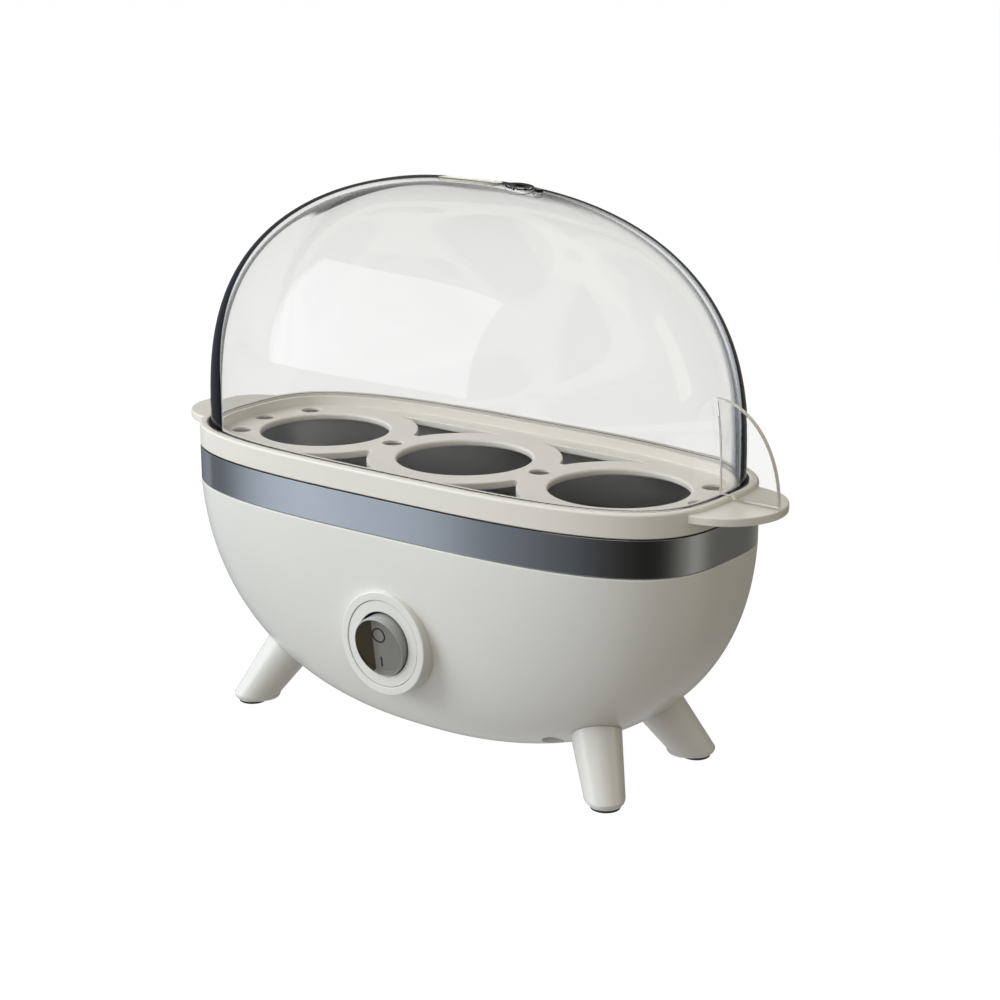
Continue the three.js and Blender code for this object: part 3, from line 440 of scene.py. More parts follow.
# A lighter copy of the rocker's smoked plastic for its rolled brow: a painted highlight
ROCKER_BROW_HIGHLIGHT = patterned("rocker_brow_painted_highlight", (tone(168, 168, 167), tone(158, 158, 156)), (0.16, 0.24),
                        cloud=9, grain=1.2, relief=0.0006, IOR=1.45)
RUBBER = patterned("foot_rubber", (tone(52, 56, 66), tone(42, 45, 54)), (0.6, 0.8),
                   cloud=3, grain=0.3, relief=0.01)
SILICONE = patterned("silicone", (tone(206, 201, 190), tone(196, 190, 178)), (0.5, 0.62),
                     cloud=12, grain=0.5, relief=0.004)
PHENOLIC = patterned("phenolic", (tone(48, 42, 38), tone(38, 33, 30)), (0.4, 0.55),
                     cloud=5, grain=0.4, relief=0.005)
NYLON = patterned("nylon", (tone(232, 228, 216), tone(224, 219, 205)), (0.42, 0.52),
                  cloud=9, grain=0.5, relief=0.003)
LEAD_LIVE = patterned("lead_live", (tone(160, 52, 42), tone(146, 44, 36)), (0.42, 0.55),
                      cloud=6, grain=0.4, relief=0.004)
LEAD_NEUTRAL = patterned("lead_neutral", (tone(46, 92, 150), tone(38, 80, 134)), (0.42, 0.55),
                         cloud=6, grain=0.4, relief=0.004)
INK = patterned("mark_ink", (tone(9, 9, 8), tone(14, 13, 12)), (0.4, 0.5), cloud=2, grain=0.3)


# ---------------------------------------------------------------- the bowl
def curve_at(h, shape):
    """How much of the plan is left between the widest level, h = 0, and the pole, h = 1."""
    return max(1 - h ** shape["rise"], 0) ** (1 / shape["round"])


def hull_loop(t, grow):
    """The bowl's plan between the bottom pole, t = 0, and the band, t = 1, its skin moved out by grow."""
    swing = math.pi / 2 * (1 - t * t)
    h = math.sin(swing) ** (2 / HULL_CROSS["rise"])
    bottom = HULL["bottom"] - grow
    if t == 0:
        return [(0, 0, bottom)]
    return oval((RIM["a"] + grow) * curve_at(h, HULL_LONG), (RIM["b"] + grow) * curve_at(h, HULL_CROSS),
                RIM["n"] + (HULL["n"] - RIM["n"]) * h, HULL["top"] - h * (HULL["top"] - bottom))


def hull_skin(grow, levels=72):
    return [hull_loop(i / levels, grow) for i in range(levels + 1)]


def hull_solid(grow, top):
    """The whole space inside the bowl's skin, up to a height."""
    cover = oval(RIM["a"] + grow, RIM["b"] + grow, RIM["n"], top)
    return skin("hull_solid", [*hull_skin(grow), cover, [(0, 0, top)]])


def bowl_shell():
    """The bowl's outer and inner skins, joined over the neck that carries the band."""
    top = HULL["top"]
    outer = [loop for loop in hull_skin(0) if loop[0][2] < top - 2]
    inner = [loop for loop in hull_skin(-HULL["wall"], 40) if loop[0][2] < top - 8]
    edge = softened([(0, top - 3), (0, top), (NECK["outer"], top), (NECK["outer"], HULL_HIGH.z),
                     (NECK["inner"], HULL_HIGH.z), (NECK["inner"], top - 4)], [0, 0.35, 0.2, 0.4, 0.4, 0])
    neck = [rim_loop(inset, z) for inset, z in edge if z > top - 2 or inset > 1]
    return skin("bowl", [*outer, *neck, *reversed(inner)])


def bowl():
    """The shell with its switch ring, cord boss and screw pillars, and then every hole through them."""
    shell = bowl_shell()
    facing = at(SWITCH["x"], 0, SWITCH["z"]) @ FRONTWARD
    behind = at(0, 0, GLAND["z"]) @ REARWARD
    ring = rod("ring", SWITCH["ring"], SWITCH["ring_back"], SWITCH["face"], facing, 160, edge=0.45)
    boss = rod("boss", GLAND["boss"], GLAND["boss_back"], GLAND["face"], behind, edge=0.6)
    pillars = [rod("pillar", WELL["pillar"], WELL["low"], WELL["top"], at(side * WELL["x"], 0, 0), 48)
               for side in (-1, 1)]
    shaped(ring, "DIFFERENCE", hull_solid(-HULL["wall"], HULL_HIGH.z + 5))
    for pillar in pillars:
        shaped(pillar, "INTERSECT", hull_solid(0, HULL["top"] - 2))
    shaped(shell, "UNION", ring, boss, *pillars)

    radius, face, chamfer = SWITCH["seat"], SWITCH["face"], SWITCH["chamfer"]
    seat = turned("seat", [(0, SWITCH["floor"]), (radius, SWITCH["floor"]), (radius, face - chamfer),
                           (radius + 2 * chamfer, face + chamfer), (0, face + chamfer)], facing, 128)
    bore = rod("bore", SWITCH["bore"], SWITCH["bore_back"], SWITCH["bore_front"], facing)
    cord = rod("cord", CORD_HOLE["radius"], CORD_HOLE["back"], CORD_HOLE["front"], behind, 48)
    radius, neck, shoulder, top = WELL["radius"], WELL["neck"], WELL["shoulder"], WELL["top"] + 1
    wells = [turned("well", [(0, 0), (radius, 0), (radius, shoulder), (neck, shoulder), (neck, top),
                             (0, top)], at(side * WELL["x"], 0, 0), 64) for side in (-1, 1)]
    drains = [rod("drain", DRAIN["radius"], 0, DRAIN["top"], at(sx * DRAIN["x"], sy * DRAIN["y"], 0), 64)
              for sx in (-1, 1) for sy in (-1, 1)]
    shaped(shell, "DIFFERENCE", seat, bore, cord, *wells, *drains)
    dressed(shell, "base", "body_shell", SHELL, "hull_shell")


def trim_band():
    low, high = BAND_LOW.z, BAND_HIGH.z
    section = softened([(0, low), (0, high), (BAND_THICK, high), (BAND_THICK, low)],
                       0.16, closed=True, steps=3)
    band = skin("band", [rim_loop(inset, z) for inset, z in section], cyclic=True)
    dressed(band, "base", "steel_band", BAND_STEEL, "trim_band")


def leg_axis(sx, sy):
    """The matrix that stands a piece on its foot, leaning in along a leg."""
    axis = Vector((-sx * LEG["lean_x"], -sy * LEG["lean_y"], 1)).normalized()
    lean = Vector((0, 0, 1)).rotation_difference(axis).to_matrix().to_4x4()
    return at(sx * LEG["foot_x"], sy * LEG["foot_y"], 0) @ lean


def leg(name, sx, sy):
    """A leaning cone with a level, rounded sole and a recess for its pad, cut to the bowl's skin above."""
    around, bends, probe = 96, 6, 10
    fillet, rise, sole = LEG["fillet"], LEG["rise"], PAD["sole"]
    standing = leg_axis(sx, sy)
    lean = standing.to_3x3()
    foot = standing.translation / MM

    def side(angle, along):
        """The point of the cone's side at an angle round its axis and a length along it."""
        widening = (LEG["root"] - LEG["tip"]) * (along - LEG["ankle"])
        radius = LEG["tip"] + widening / (LEG["long"] - LEG["ankle"])
        return foot + lean @ Vector((radius * math.cos(angle), radius * math.sin(angle), along))

    angles = [TAU * i / around for i in range(around)]
    ends = []
    for angle in angles:
        low, high = side(angle, 0), side(angle, probe)
        ends.append(side(angle, probe * (sole + rise - low.z) / (high.z - low.z)))
    middle = sum(ends, Vector()) / around
    loops = [[side(angle, LEG["long"]) for angle in angles], ends]
    for turn in (math.pi / 2 * k / bends for k in range(1, bends + 1)):
        inset, drop = fillet * (1 - math.cos(turn)), rise * math.sin(turn)
        loops.append([end + (middle - end).normalized() * inset - Vector((0, 0, drop)) for end in ends])
    pad = Vector((sx * PAD["x"], sy * PAD["y"]))
    hole, roof = PAD["radius"] + PAD["room"], PAD["high"] + PAD["over"]
    start = math.atan2(ends[0].y - pad.y, ends[0].x - pad.x)
    rim = [(pad.x + hole * math.cos(start + a), pad.y + hole * math.sin(start + a)) for a in angles]
    loops += [[(x, y, z) for x, y in rim] for z in (sole, roof)]
    top = foot + lean @ Vector((0, 0, LEG["long"]))
    cone = skin(f"{name}_fine", [[top], *loops, [(pad.x, pad.y, roof)]])
    shaped(cone, "DIFFERENCE", hull_solid(0.12, HULL["top"]))
    dressed(cone, "base", "body_shell", SHELL, name)


def foot_pad(name, sx, sy):
    profile = softened([(0, 0), (PAD["radius"], 0), (PAD["radius"], PAD["high"]), (0, PAD["high"])],
                       [0, 0.35, 0.1, 0])
    pad = turned(f"{name}_fine", profile, at(sx * PAD["x"], sy * PAD["y"], 0), 64)
    dressed(pad, "base", "foot_rubber", RUBBER, name)


# ---------------------------------------------------------------- switch, gland and pan
def switch_parts():
    facing = at(SWITCH["x"], 0, SWITCH["z"]) @ FRONTWARD
    face, back, hole = SWITCH["face"] - 0.2, SWITCH["floor"] + 0.3, SWITCH["hole"]
    outer, seat, step = SWITCH["seat"] - 0.14, NOSE["outer"] + 0.3, NOSE["front"] + 0.3
    bezel = turned("switch_bezel_fine", softened(
        [(outer, back), (outer, face), (hole, face), (hole, step), (seat, step), (seat, back)],
        [0.2, 0.2, 0.4, 0.1, 0.1, 0.2], closed=True), facing, 160)
    dressed(bezel, "base", "body_shell", SHELL, "switch_bezel")
    housing = turned("switch_housing_fine", softened(
        [(0, NOSE["back"]), (NOSE["barrel"], NOSE["back"]), (NOSE["barrel"], SWITCH["floor"]),
         (NOSE["outer"], SWITCH["floor"]), (NOSE["outer"], NOSE["front"]), (NOSE["inner"], NOSE["front"]),
         (NOSE["inner"], NOSE["recess_back"]), (0, NOSE["recess_back"])],
        [0, 0.5, 0.15, 0, 0.15, 0.2, 0.6, 0]), facing, 128)
    dressed(housing, "base", "smoked_plastic", SMOKE, "switch_housing")

    tilt = Matrix.Rotation(math.radians(ROCKER["tilt"]), 4, "X")
    tilted = at(SWITCH["x"], -ROCKER["pivot"], SWITCH["z"]) @ tilt
    rocker = rocker_cap()
    rocker.data.transform(tilted)
    # The rocker's face carries painted shade left of the border
    dressed(rocker, "rocker", "smoked_plastic", ROCKER_SMOKE_AND_SHADE, "switch_rocker")
    # The rolled brow, outside the dish, takes the lighter copy: a painted highlight
    rocker.data.materials.append(ROCKER_BROW_HIGHLIGHT)
    for face in rocker.data.polygons:
        spot = tilted.inverted() @ face.center / MM
        face.material_index = 1 if math.hypot(spot.x, spot.z) > ROCKER["brow"] - 0.05 else 0
    for mark in rocker_marks():
        mark.data.transform(tilted)
        dressed(mark, "rocker", "smoked_plastic", INK)


def rocker_front(x, z):
    """How far the rocker's front stands off its pivot: inside the brow it is flat right of the upright
    crease, and rises to the brow left of it."""
    crease, brow = ROCKER["crease"], ROCKER["brow"]
    climb = (math.hypot(x - crease, 0.3) - (x - crease)) / 2
    step = min(max((brow - math.hypot(x, z)) / 0.5, 0), 1)
    depth = ROCKER["dish"] * max(1 - climb / (brow + crease), 0)
    return ROCKER["front"] - depth * step * step * (3 - 2 * step)


def rocker_cap():
    """A round cap: its dished front, a rolled brow, a short side and a flat rounded back."""
    around, rings, bends = 128, 40, 8
    radius, brow, front, back = ROCKER["radius"], ROCKER["brow"], ROCKER["front"], ROCKER["back"]
    loops = [[(0, -rocker_front(0, 0), 0)]]
    for r in (brow * k / rings for k in range(1, rings + 1)):
        loops.append([(x, -rocker_front(x, z), z) for x, z in circle(0, 0, r, around)])
    roll = [(brow + (radius - brow) * math.sin(t), front - ROCKER["roll"] * (1 - math.cos(t)))
            for t in (k / bends * math.pi / 2 for k in range(1, bends + 1))]
    for r, out in [*roll, (radius, 0), (radius - 0.2, -0.8), (radius - 2.4, -back), (radius - 5, -back)]:
        loops.append([(x, -out, z) for x, z in circle(0, 0, r, around)])
    loops.append([(0, back, 0)])
    return skin("switch_rocker_fine", loops)


def rocker_marks():
    """The off and on marks, thin inlays that follow the rocker's face."""
    middle, low, proud, sunk = MARKS["middle"], MARKS["on_z"], MARKS["proud"], MARKS["sunk"]
    inner, outer, half = MARKS["off_inner"], MARKS["off_outer"], MARKS["on_half"]
    loops = [[(x, -rocker_front(x, z) - up, z) for x, z in circle(middle, MARKS["off_z"], r, 48)]
             for r, up in ((inner, proud), (outer, proud), (outer, -sunk), (inner, -sunk))]
    ring = skin("mark_off", loops, cyclic=True)
    levels = [low + MARKS["on_reach"] * k / 3 for k in range(-3, 4)]
    sides = ((-half, -sunk), (half, -sunk), (half, proud), (-half, proud))
    bar = skin("mark_on", [[(middle + x, -rocker_front(middle + x, z) - up, z) for x, up in sides]
                           for z in levels])
    bm = bmesh.new()
    bm.from_mesh(bar.data)
    bmesh.ops.holes_fill(bm, edges=bm.edges)
    bmesh.ops.recalc_face_normals(bm, faces=bm.faces)
    bm.to_mesh(bar.data)
    bm.free()
    return ring, bar


def cord_gland():
    """A rubber gland: its flange outside the boss, a stem that ends it, and a body that goes inside."""
    flange, stem, body, bore = GLAND["flange"], GLAND["stem"], GLAND["body"], GLAND["bore"]
    seat, collar = GLAND["face"] + 0.3, GLAND["face"] + GLAND["collar"]
    profile = softened([(flange, seat), (flange, collar), (stem, collar), (stem, GLAND["end"]),
                        (bore, GLAND["end"]), (bore, GLAND["inner"]), (body, GLAND["inner"]), (body, seat)],
                       [0.3, 0.6, 0.4, 0.8, 0.4, 0.3, 0.3, 0.2], closed=True)
    gland = turned("cord_gland_fine", profile, at(0, 0, GLAND["z"]) @ REARWARD, 64)
    dressed(gland, "base", "foot_rubber", RUBBER, "cord_gland")


def heating_pan():
    """A drawn pan: (inset from the rim, height) up its underside, round the flange and down its inside."""
    floor, inset, top = PAN["floor"], PAN["inset"], PAN_HIGH.z
    base, under = floor - PAN["sheet"], top - PAN["sheet"]
    section = softened([(16, base), (11.6, floor + 0.8), (9.6, floor + 5), (5.8, under), (inset, under),
                        (inset, top), (4.9, top), (8.6, floor + 5), (10.8, floor + 1.6), (15.4, floor)],
                       [1, 2, 4, 0.6, 0.3, 0.3, 0.8, 4, 2, 1])
    loops = [rim_loop(inset, z) for inset, z in section]
    pan = skin("heating_pan_fine", [[(0, 0, base)], *loops, [(0, 0, floor)]])
    dressed(pan, "base", "pan_steel", PAN_STEEL, "heating_pan")


def base_screw(name, side):
    """A pan-head screw with a cross slot, turned point up and then seated on the well's shoulder."""
    long, shank, head, high = SCREW["long"], SCREW["shank"], SCREW["head"], SCREW["high"]
    profile = softened([(0, -long), (1.0, -long), (shank, -5.4), (shank, 0), (head, 0), (head, 1.3),
                        (2.1, high), (0, high)], [0, 0.2, 0.3, 0, 0.1, 0.5, 0.6, 0])
    screw = turned(f"{name}_fine", profile, around=48)
    x, y = SCREW["slot_half"], SCREW["slot_side"]
    for angle in (0, 90):
        slot = plate("slot", [wall([(-x, -y), (x, -y), (x, y), (-x, y)], SCREW["slot_floor"], 4, 0, 1)])
        slot.data.transform(Matrix.Rotation(math.radians(angle), 4, "Z"))
        shaped(screw, "DIFFERENCE", slot)
    screw.data.transform(at(side * WELL["x"], 0, WELL["shoulder"] - 0.3) @ Matrix.Rotation(math.pi, 4, "X"))
    dressed(screw, "base", "zinc_steel", ZINC, name)


# ---------------------------------------------------------------- egg tray
def cutout_outline(x, side):
    """A curved triangle between two egg rings, its base along the long wall; a hole, so it runs clockwise."""
    half = EGG["pitch"] / 2
    steps = 12
    tip, base = CUTOUT["tip"] + 1.4, CUTOUT["front"]
    flank = [(half - math.sqrt(CUTOUT["ring"] ** 2 - y * y), y)
             for y in (tip + (base - tip) * i / steps for i in range(steps + 1))]
    left = [(-across, y) for across, y in flank]
    points = [*left, *reversed(flank)]
    radii = [1.2] + [0] * (steps - 1) + [2.2, 2.2] + [0] * (steps - 1) + [1.2]
    outline = softened(points, radii, closed=True, steps=5)
    if side < 0:
        outline = [(px, -py) for px, py in reversed(outline)]
    return [(x + px, py) for px, py in outline]


def egg_tray():
    """The tray: one plate with its holes, thinned under the steam holes, and then its two ears."""
    under, floor = TRAY["under"], TRAY["floor"]
    profile = softened(
        [(1.6, under), (1.6, TRAY_LOW.z), (0, TRAY_LOW.z), (0, TRAY_HIGH.z), (TRAY["lip"], TRAY_HIGH.z),
         (TRAY["lip"], TRAY["groove"]), (TRAY["rib"], TRAY["groove"]), (TRAY["rib"], TRAY["rib_top"]),
         (TRAY["wall"] - 0.1, TRAY["rib_top"]), (TRAY["wall"], floor), (TRAY["wall"] + 0.4, floor)],
        [0, 0.2, 0.3, 0.8, 0.35, 0.15, 0.1, 0.25, 0.3, 0.3, 0], steps=5)
    side_wall = [rim_loop(inset, z) for inset, z in profile]
    holes = [circle(k * EGG["pitch"], 0, EGG["radius"], 128, hole=True) for k in (-1, 0, 1)]
    steam = [(sx * EGG["pitch"] / 2, 0) for sx in (-1, 1)]
    steam += [(sx * STEAM["end_x"], 0) for sx in (-1, 1)]
    steam += [(sx * STEAM["side_x"], sy * STEAM["side_y"]) for sx in (-1, 1) for sy in (-1, 1)]
    stacks = [side_wall]
    stacks += [wall(outline, under, floor, 0.75, 5) for outline in holes]
    stacks += [wall(circle(x, y, STEAM["radius"], 48, hole=True), under, floor, 0.2, 3) for x, y in steam]
    stacks += [wall(cutout_outline(sx * EGG["pitch"] / 2, side), under, floor, 0.35, 3)
               for sx in (-1, 1) for side in (-1, 1)]
    tray = plate("egg_tray_fine", stacks)
    relief, roof = STEAM["radius"] + STEAM["relief"], floor - STEAM["web"]
    for x, y in steam:
        shaped(tray, "DIFFERENCE", rod("relief", relief, under - 1, roof, at(x, y, 0), 48))
    reach, turns = TRAY_HIGH.x - EAR["centre"], [TAU * i / 160 for i in range(160)]
    for side in (-1, 1):
        outline = [(side * EAR["centre"] + reach * math.cos(t), EAR["half"] * math.sin(t)) for t in turns]
        ear = plate("ear", [wall(outline, EAR["bottom"], EAR["top"], 0.35, 4)])
        core = skin("core", [[(0, 0, 70)], rim_loop(1.2, 70), rim_loop(1.2, 95), [(0, 0, 95)]])
        shaped(ear, "DIFFERENCE", core)
        shaped(tray, "UNION", ear)
    dressed(tray, "tray", "tray_plastic", TRAY_PLASTIC, "egg_tray")


# ---------------------------------------------------------------- clear lid
def dome_loop(t, thin):
    """The dome's plan between its base, t = 0, and the top pole, t = 1, its skin moved in by thin."""
    top = DOME["top"] - thin
    if t == 1:
        return [(0, 0, top)]
    h = math.sin(math.pi / 2 * t ** 0.9) ** (2 / DOME_LONG["rise"])
    return oval((DOME["a"] - thin) * curve_at(h, DOME_LONG), (DOME["b"] - thin) * curve_at(h, DOME_CROSS),
                RIM["n"], DOME["base"] + h * (top - DOME["base"]), LID_AROUND)


def dome_edge(z, depth):
    """Half the dome's length at a height, drawn in by depth."""
    h = max(z - DOME["base"], 0) / (DOME["top"] - DOME["base"])
    return DOME["a"] * curve_at(h, DOME_LONG) - depth


def ridge_height(x):
    """The height of the dome's ridge over a point of its long middle line."""
    rise = (1 - (abs(x) / DOME["a"]) ** DOME_LONG["round"]) ** (1 / DOME_LONG["rise"])
    return DOME["base"] + (DOME["top"] - DOME["base"]) * rise


def fin():
    """A quarter-ellipse plate that stands out from the dome's end and steps over the ear."""
    high, inside = FIN["z"] + FIN["height"], -0.02
    outline = [(dome_edge(FIN["over"], inside), FIN["over"]), (FIN["step"], FIN["over"]),
               (FIN["step"] + 0.4, FIN["z"])]
    arc = [i / 32 * 1.42 for i in range(33)]
    outline += [(FIN["x"] + FIN["reach"] * math.cos(t), FIN["z"] + FIN["height"] * math.sin(t)) for t in arc]
    outline += [(dome_edge(z, inside), z) for z in (high + (FIN["over"] - high) * i / 16 for i in range(16))]
    half = FIN["thick"] / 2
    piece = plate("lid_fin", [wall(outline, -half, half, 0.2, 3)])
    piece.data.transform(FRONTWARD)
    return piece


def upright(x):
    """The matrix that stands a piece square on the dome's ridge."""
    lean = math.atan2(ridge_height(x + 1) - ridge_height(x - 1), 2)
    return at(x, 0, ridge_height(x)) @ Matrix.Rotation(-lean, 4, "Y")


def ridge_slot():
    """A tool that presses a shallow round-ended mark into the dome's ridge."""
    middle, half, wide = RIDGE_SLOT["x"], RIDGE_SLOT["half"], RIDGE_SLOT["wide"]
    top = ridge_height(middle)
    outline = [(middle + side * (half - wide) + wide * math.cos(t), wide * math.sin(t))
               for side, first in ((1, -0.5), (-1, 0.5))
               for t in (math.pi * (first + i / 16) for i in range(17))]
    return plate("slot", [wall(outline, top - RIDGE_SLOT["deep"], top + 3, 0.2, 3)])


def lid():
    """The dome and its flange in one shell, with its vent, pip and ridge mark, and the fin beside it."""
    levels = 64
    outer = [dome_loop(i / levels, 0) for i in range(levels + 1)]
    inner = [dome_loop(i / levels, DOME["wall"]) for i in range(levels + 1)]
    flange, base, foot = DOME["flange"], DOME["base"], DOME["foot"]
    foot_inner = [(x, y, foot) for x, y, _ in inner[0]]
    edge = softened([(2.9, base), (flange, base), (flange, foot), (4.2, foot)], [0, 0.3, 0.25, 0])
    rim = [oval(RIM["a"] - inset, RIM["b"] - inset, RIM["n"], z, LID_AROUND) for inset, z in edge]
    shell = skin("lid_fine", [*reversed(outer), *rim, foot_inner, *inner])
    boss = rod("boss", VENT["boss"], -1, VENT["proud"], upright(VENT["x"]), 64, edge=0.35)
    pip = rod("pip", PIP["radius"], -1, PIP["proud"], upright(PIP["x"]), 48, edge=0.6)
    shaped(shell, "UNION", boss, pip)
    radius, mouth = VENT["bore"], VENT["proud"] + 0.5
    bore = turned("bore", [(0, -4), (radius, -4), (radius, VENT["proud"] - 0.3), (radius + 0.8, mouth),
                           (0, mouth)], upright(VENT["x"]), 48)
    shaped(shell, "DIFFERENCE", bore, ridge_slot())
    dressed(shell, "lid", "clear_lid", CLEAR, "lid", sharp=28)
    # The ridge slot's floor takes the cream material: a painted highlight
    frost_and_highlight(shell, lambda x, y, z, normal: z > DOME["top"] - 2 and z < ridge_height(x) - 0.1
            and abs(x - RIDGE_SLOT["x"]) < RIDGE_SLOT["half"] and abs(y) < RIDGE_SLOT["wide"])
    blade = dressed(fin(), "lid", "clear_lid", FIN_CLEAR)
    # The fin's outer edges take it too: a frost-like moulded edge, partly painted highlight
    frost_and_highlight(blade, lambda x, y, z, normal: abs(normal.y) < 0.7 and x > FIN["x"] + 1)


def frost_and_highlight(obj, chosen):
    """Gives the chosen faces a cream, frost-like material: on the fin's edge a moulded frost that is partly
    painted highlight, in the ridge slot a painted highlight.
    """
    obj.data.materials.append(FROSTED_AND_HIGHLIGHT)
    for face in obj.data.polygons:
        face.material_index = 1 if chosen(*(face.center / MM), face.normal) else 0


# ---------------------------------------------------------------- carried-over nodes
SLOT_MATERIALS = {
    "body_shell": SHELL, "tray_plastic": TRAY_PLASTIC, "steel_band": BAND_STEEL, "pan_steel": PAN_STEEL,
    "clear_lid": CLEAR, "smoked_plastic": SMOKE, "foot_rubber": RUBBER, "silicone": SILICONE,
    "zinc_steel": ZINC, "brass": BRASS, "phenolic": PHENOLIC, "nylon": NYLON,
    "lead_live": LEAD_LIVE, "lead_neutral": LEAD_NEUTRAL,
}


def finish_inner_nodes():
    """Every CAD node that still shows takes the material of its slot in the record."""
    for entry in frame["record"]["subparts"]:
        carried = frame["nodes"][entry["node"]]
        if not carried.hide_render:
            carried.data.materials.clear()
            carried.data.materials.append(SLOT_MATERIALS[entry["material_slot"]])


# ---------------------------------------------------------------- studio
CAMERA = {"azimuth": 37.394, "elevation": 16.098, "distance": 0.625, "lens": 76.58,
          "target": Vector((1.56, 14.09, 67.2)) * MM}


def towards(azimuth, elevation):
    """A unit vector: azimuth 0 is the switch side, 90 is +X."""
    a, e = math.radians(azimuth), math.radians(elevation)
    return Vector((math.sin(a) * math.cos(e), -math.cos(a) * math.cos(e), math.sin(e)))


def camera():
    data = bpy.data.cameras.new("camera")
    data.lens, data.sensor_width = CAMERA["lens"], 36
    obj = bpy.data.objects.new("camera", data)
    bpy.context.scene.collection.objects.link(obj)
    back = towards(CAMERA["azimuth"], CAMERA["elevation"])
    obj.location = CAMERA["target"] + back * CAMERA["distance"]
    obj.rotation_euler = (-back).to_track_quat("-Z", "Y").to_euler()
    bpy.context.scene.camera = obj


def softbox(name, azimuth, elevation, distance, width, height, radiance, color, mirrored=True, lights=True):
    """A rectangular soft light that faces the object; radiance is its brightness per unit area. It shows in
    reflections and through clear plastic where mirrored, and lights the surfaces where lights."""
    data = bpy.data.lights.new(name, "AREA")
    data.shape, data.size, data.size_y = "RECTANGLE", width, height
    data.energy, data.color = radiance * math.pi * width * height, color
    obj = bpy.data.objects.new(name, data)
    bpy.context.scene.collection.objects.link(obj)
    away = towards(azimuth, elevation)
    obj.location = Vector((0, 0, 0.08)) + away * distance
    obj.rotation_euler = (-away).to_track_quat("-Z", "Y").to_euler()
    obj.visible_camera = False
    obj.visible_glossy = obj.visible_transmission = mirrored
    obj.visible_diffuse = lights


# What the room round the object reflects: (azimuth, brightness)
ROOM = [(-137, 0.05), (-104, 0.34), (-80, 0.19), (-66, 0.24), (-47, 0.95), (-38, 0.5), (-31, 0.26),
        (-15, 0.16), (10, 0.06), (43, 0.017), (78, 0.03), (108, 0.28), (124, 0.46), (143, 0.07),
        (176, 0.22), (200, 0.3)]
COOL, WARM = (0.94, 1.0, 1.07), (1.0, 0.94, 0.82)


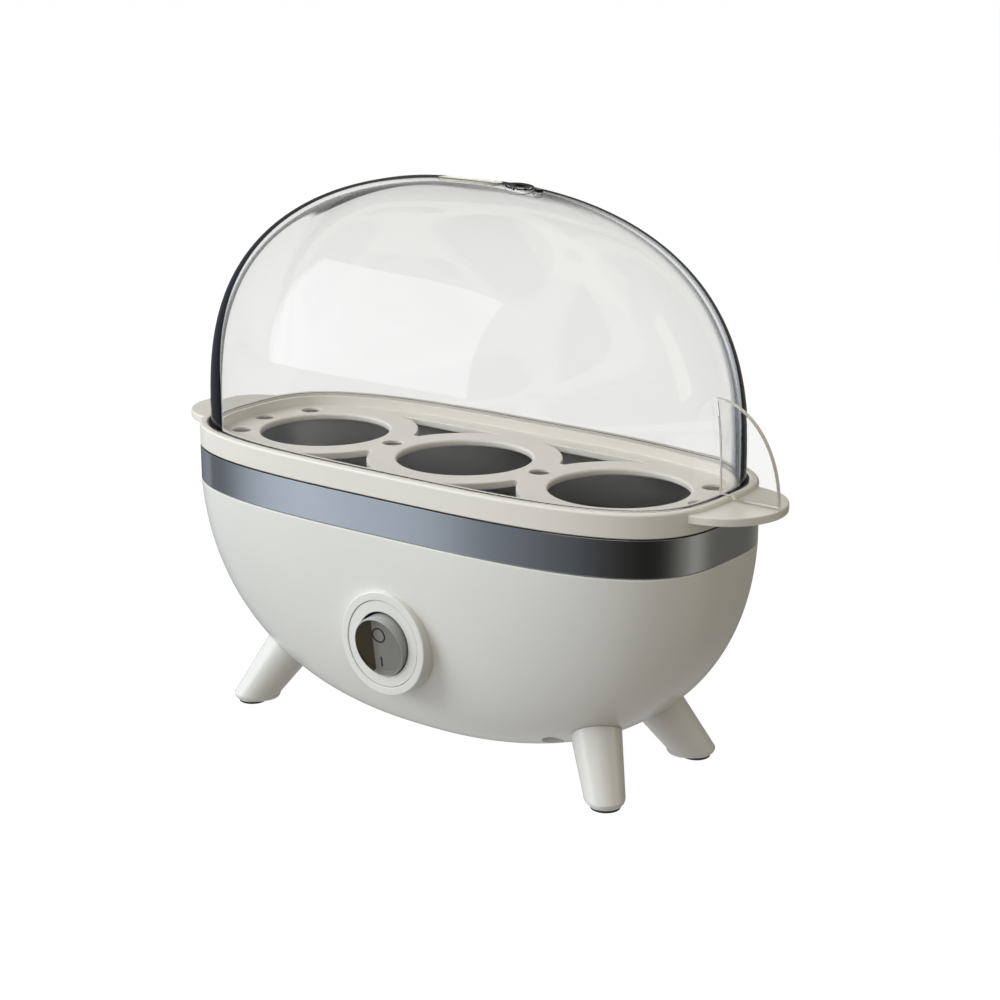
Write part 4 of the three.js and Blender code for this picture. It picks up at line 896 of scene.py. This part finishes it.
def room():
    """A pale studio for reflections and light: walls that are bright and cool at the front left and dark and
    warm at the right. The camera, and what is seen through clear plastic, meet plain white."""
    world = bpy.data.worlds.new("room")
    bpy.context.scene.world = world
    world.use_nodes = True
    tree = world.node_tree
    where = node(tree, "TexCoord").outputs["Generated"]
    place = node(tree, "SeparateXYZ", {"Vector": where})
    height = place.outputs["Z"]
    spin = node(tree, "TexGradient", {"Vector": where}, gradient_type="RADIAL")
    walls = node(tree, "ValToRGB", {"Fac": spin.outputs["Fac"]})
    walls.color_ramp.interpolation = "B_SPLINE"
    fill_ramp(walls.color_ramp, sorted(
        ((azimuth / 360 + 0.25) % 1, (*(level * part for part in (COOL if azimuth < 0 else WARM)), 1))
        for azimuth, level in ROOM))
    up = node(tree, "MapRange", {"Value": height, "From Min": 0.05, "From Max": 0.6},
              interpolation_type="SMOOTHSTEP")
    ceiling = node(tree, "Mix", {"Factor": up.outputs["Result"], "A": walls.outputs["Color"],
                                 "B": (0.3, 0.29, 0.26, 1)}, data_type="RGBA")
    across = node(tree, "MapRange", {"Value": place.outputs["X"], "From Min": -0.5, "From Max": 0.5})
    table = node(tree, "Mix", {"Factor": across.outputs["Result"], "A": (0.92, 0.93, 0.93, 1),
                               "B": (0.38, 0.36, 0.32, 1)}, data_type="RGBA")
    down = node(tree, "MapRange", {"Value": height, "From Min": -0.4, "From Max": -0.85},
                interpolation_type="SMOOTHSTEP")
    ground = node(tree, "Mix", {"Factor": down.outputs["Result"], "A": ceiling.outputs["Result"],
                                "B": table.outputs["Result"]}, data_type="RGBA")
    lit = node(tree, "Background", {"Color": ground.outputs["Result"], "Strength": 1.0})
    plain = node(tree, "Background", {"Color": (1, 1, 1, 1), "Strength": 1.0})
    path = node(tree, "LightPath")
    seen = node(tree, "Math", {0: path.outputs["Is Camera Ray"], 1: path.outputs["Is Transmission Ray"]},
                operation="MAXIMUM")
    mixed = node(tree, "MixShader", {0: seen.outputs["Value"], 1: lit.outputs["Background"],
                                     2: plain.outputs["Background"]})
    tree.links.new(mixed.outputs["Shader"], tree.nodes["World Output"].inputs["Surface"])


def floor():
    """A plain pale floor that carries only a faint shadow."""
    bm = bmesh.new()
    bmesh.ops.create_grid(bm, x_segments=8, y_segments=8, size=9000)
    surface = made("floor", bm)
    material = bpy.data.materials.new("floor_paper")
    material.use_nodes = True
    tree = material.node_tree
    shade = node(tree, "BsdfDiffuse", {"Color": (0.9, 0.9, 0.9, 1)})
    glow = node(tree, "Emission", {"Color": (1, 1, 1, 1), "Strength": 1.06})
    mixed = node(tree, "MixShader", {0: 0.08, 1: glow.outputs["Emission"], 2: shade.outputs["BSDF"]})
    tree.links.new(mixed.outputs["Shader"], tree.nodes["Material Output"].inputs["Surface"])
    surface.data.materials.append(material)
    surface.visible_glossy = surface.visible_diffuse = False


def studio():
    camera()
    room()
    floor()
    softbox("key", -54, 31, 1.3, 1.5, 1.1, 4.0, COOL, mirrored=False)
    softbox("key_sheen", -43, 14, 1.3, 0.55, 0.78, 1.7, COOL, lights=False)
    softbox("front", 22, 20, 1.4, 1.2, 0.8, 1.8, (1.0, 0.99, 0.95), mirrored=False)
    softbox("top", 20, 80, 1.4, 1.4, 1.0, 0.5, WARM)
    softbox("side", 118, 25, 1.4, 0.5, 0.9, 1.0, WARM)
    settings = bpy.context.scene.view_settings
    settings.view_transform, settings.look = "Standard", "None"


# ---------------------------------------------------------------- everything together
studio()
bowl()
trim_band()
for depth, sy in (("front", -1), ("rear", 1)):
    for hand, sx in (("left", -1), ("right", 1)):
        leg(f"leg_{depth}_{hand}", sx, sy)
        foot_pad(f"foot_pad_{depth}_{hand}", sx, sy)
switch_parts()
cord_gland()
heating_pan()
base_screw("base_screw_left", -1)
base_screw("base_screw_right", 1)
egg_tray()
lid()
finish_inner_nodes()
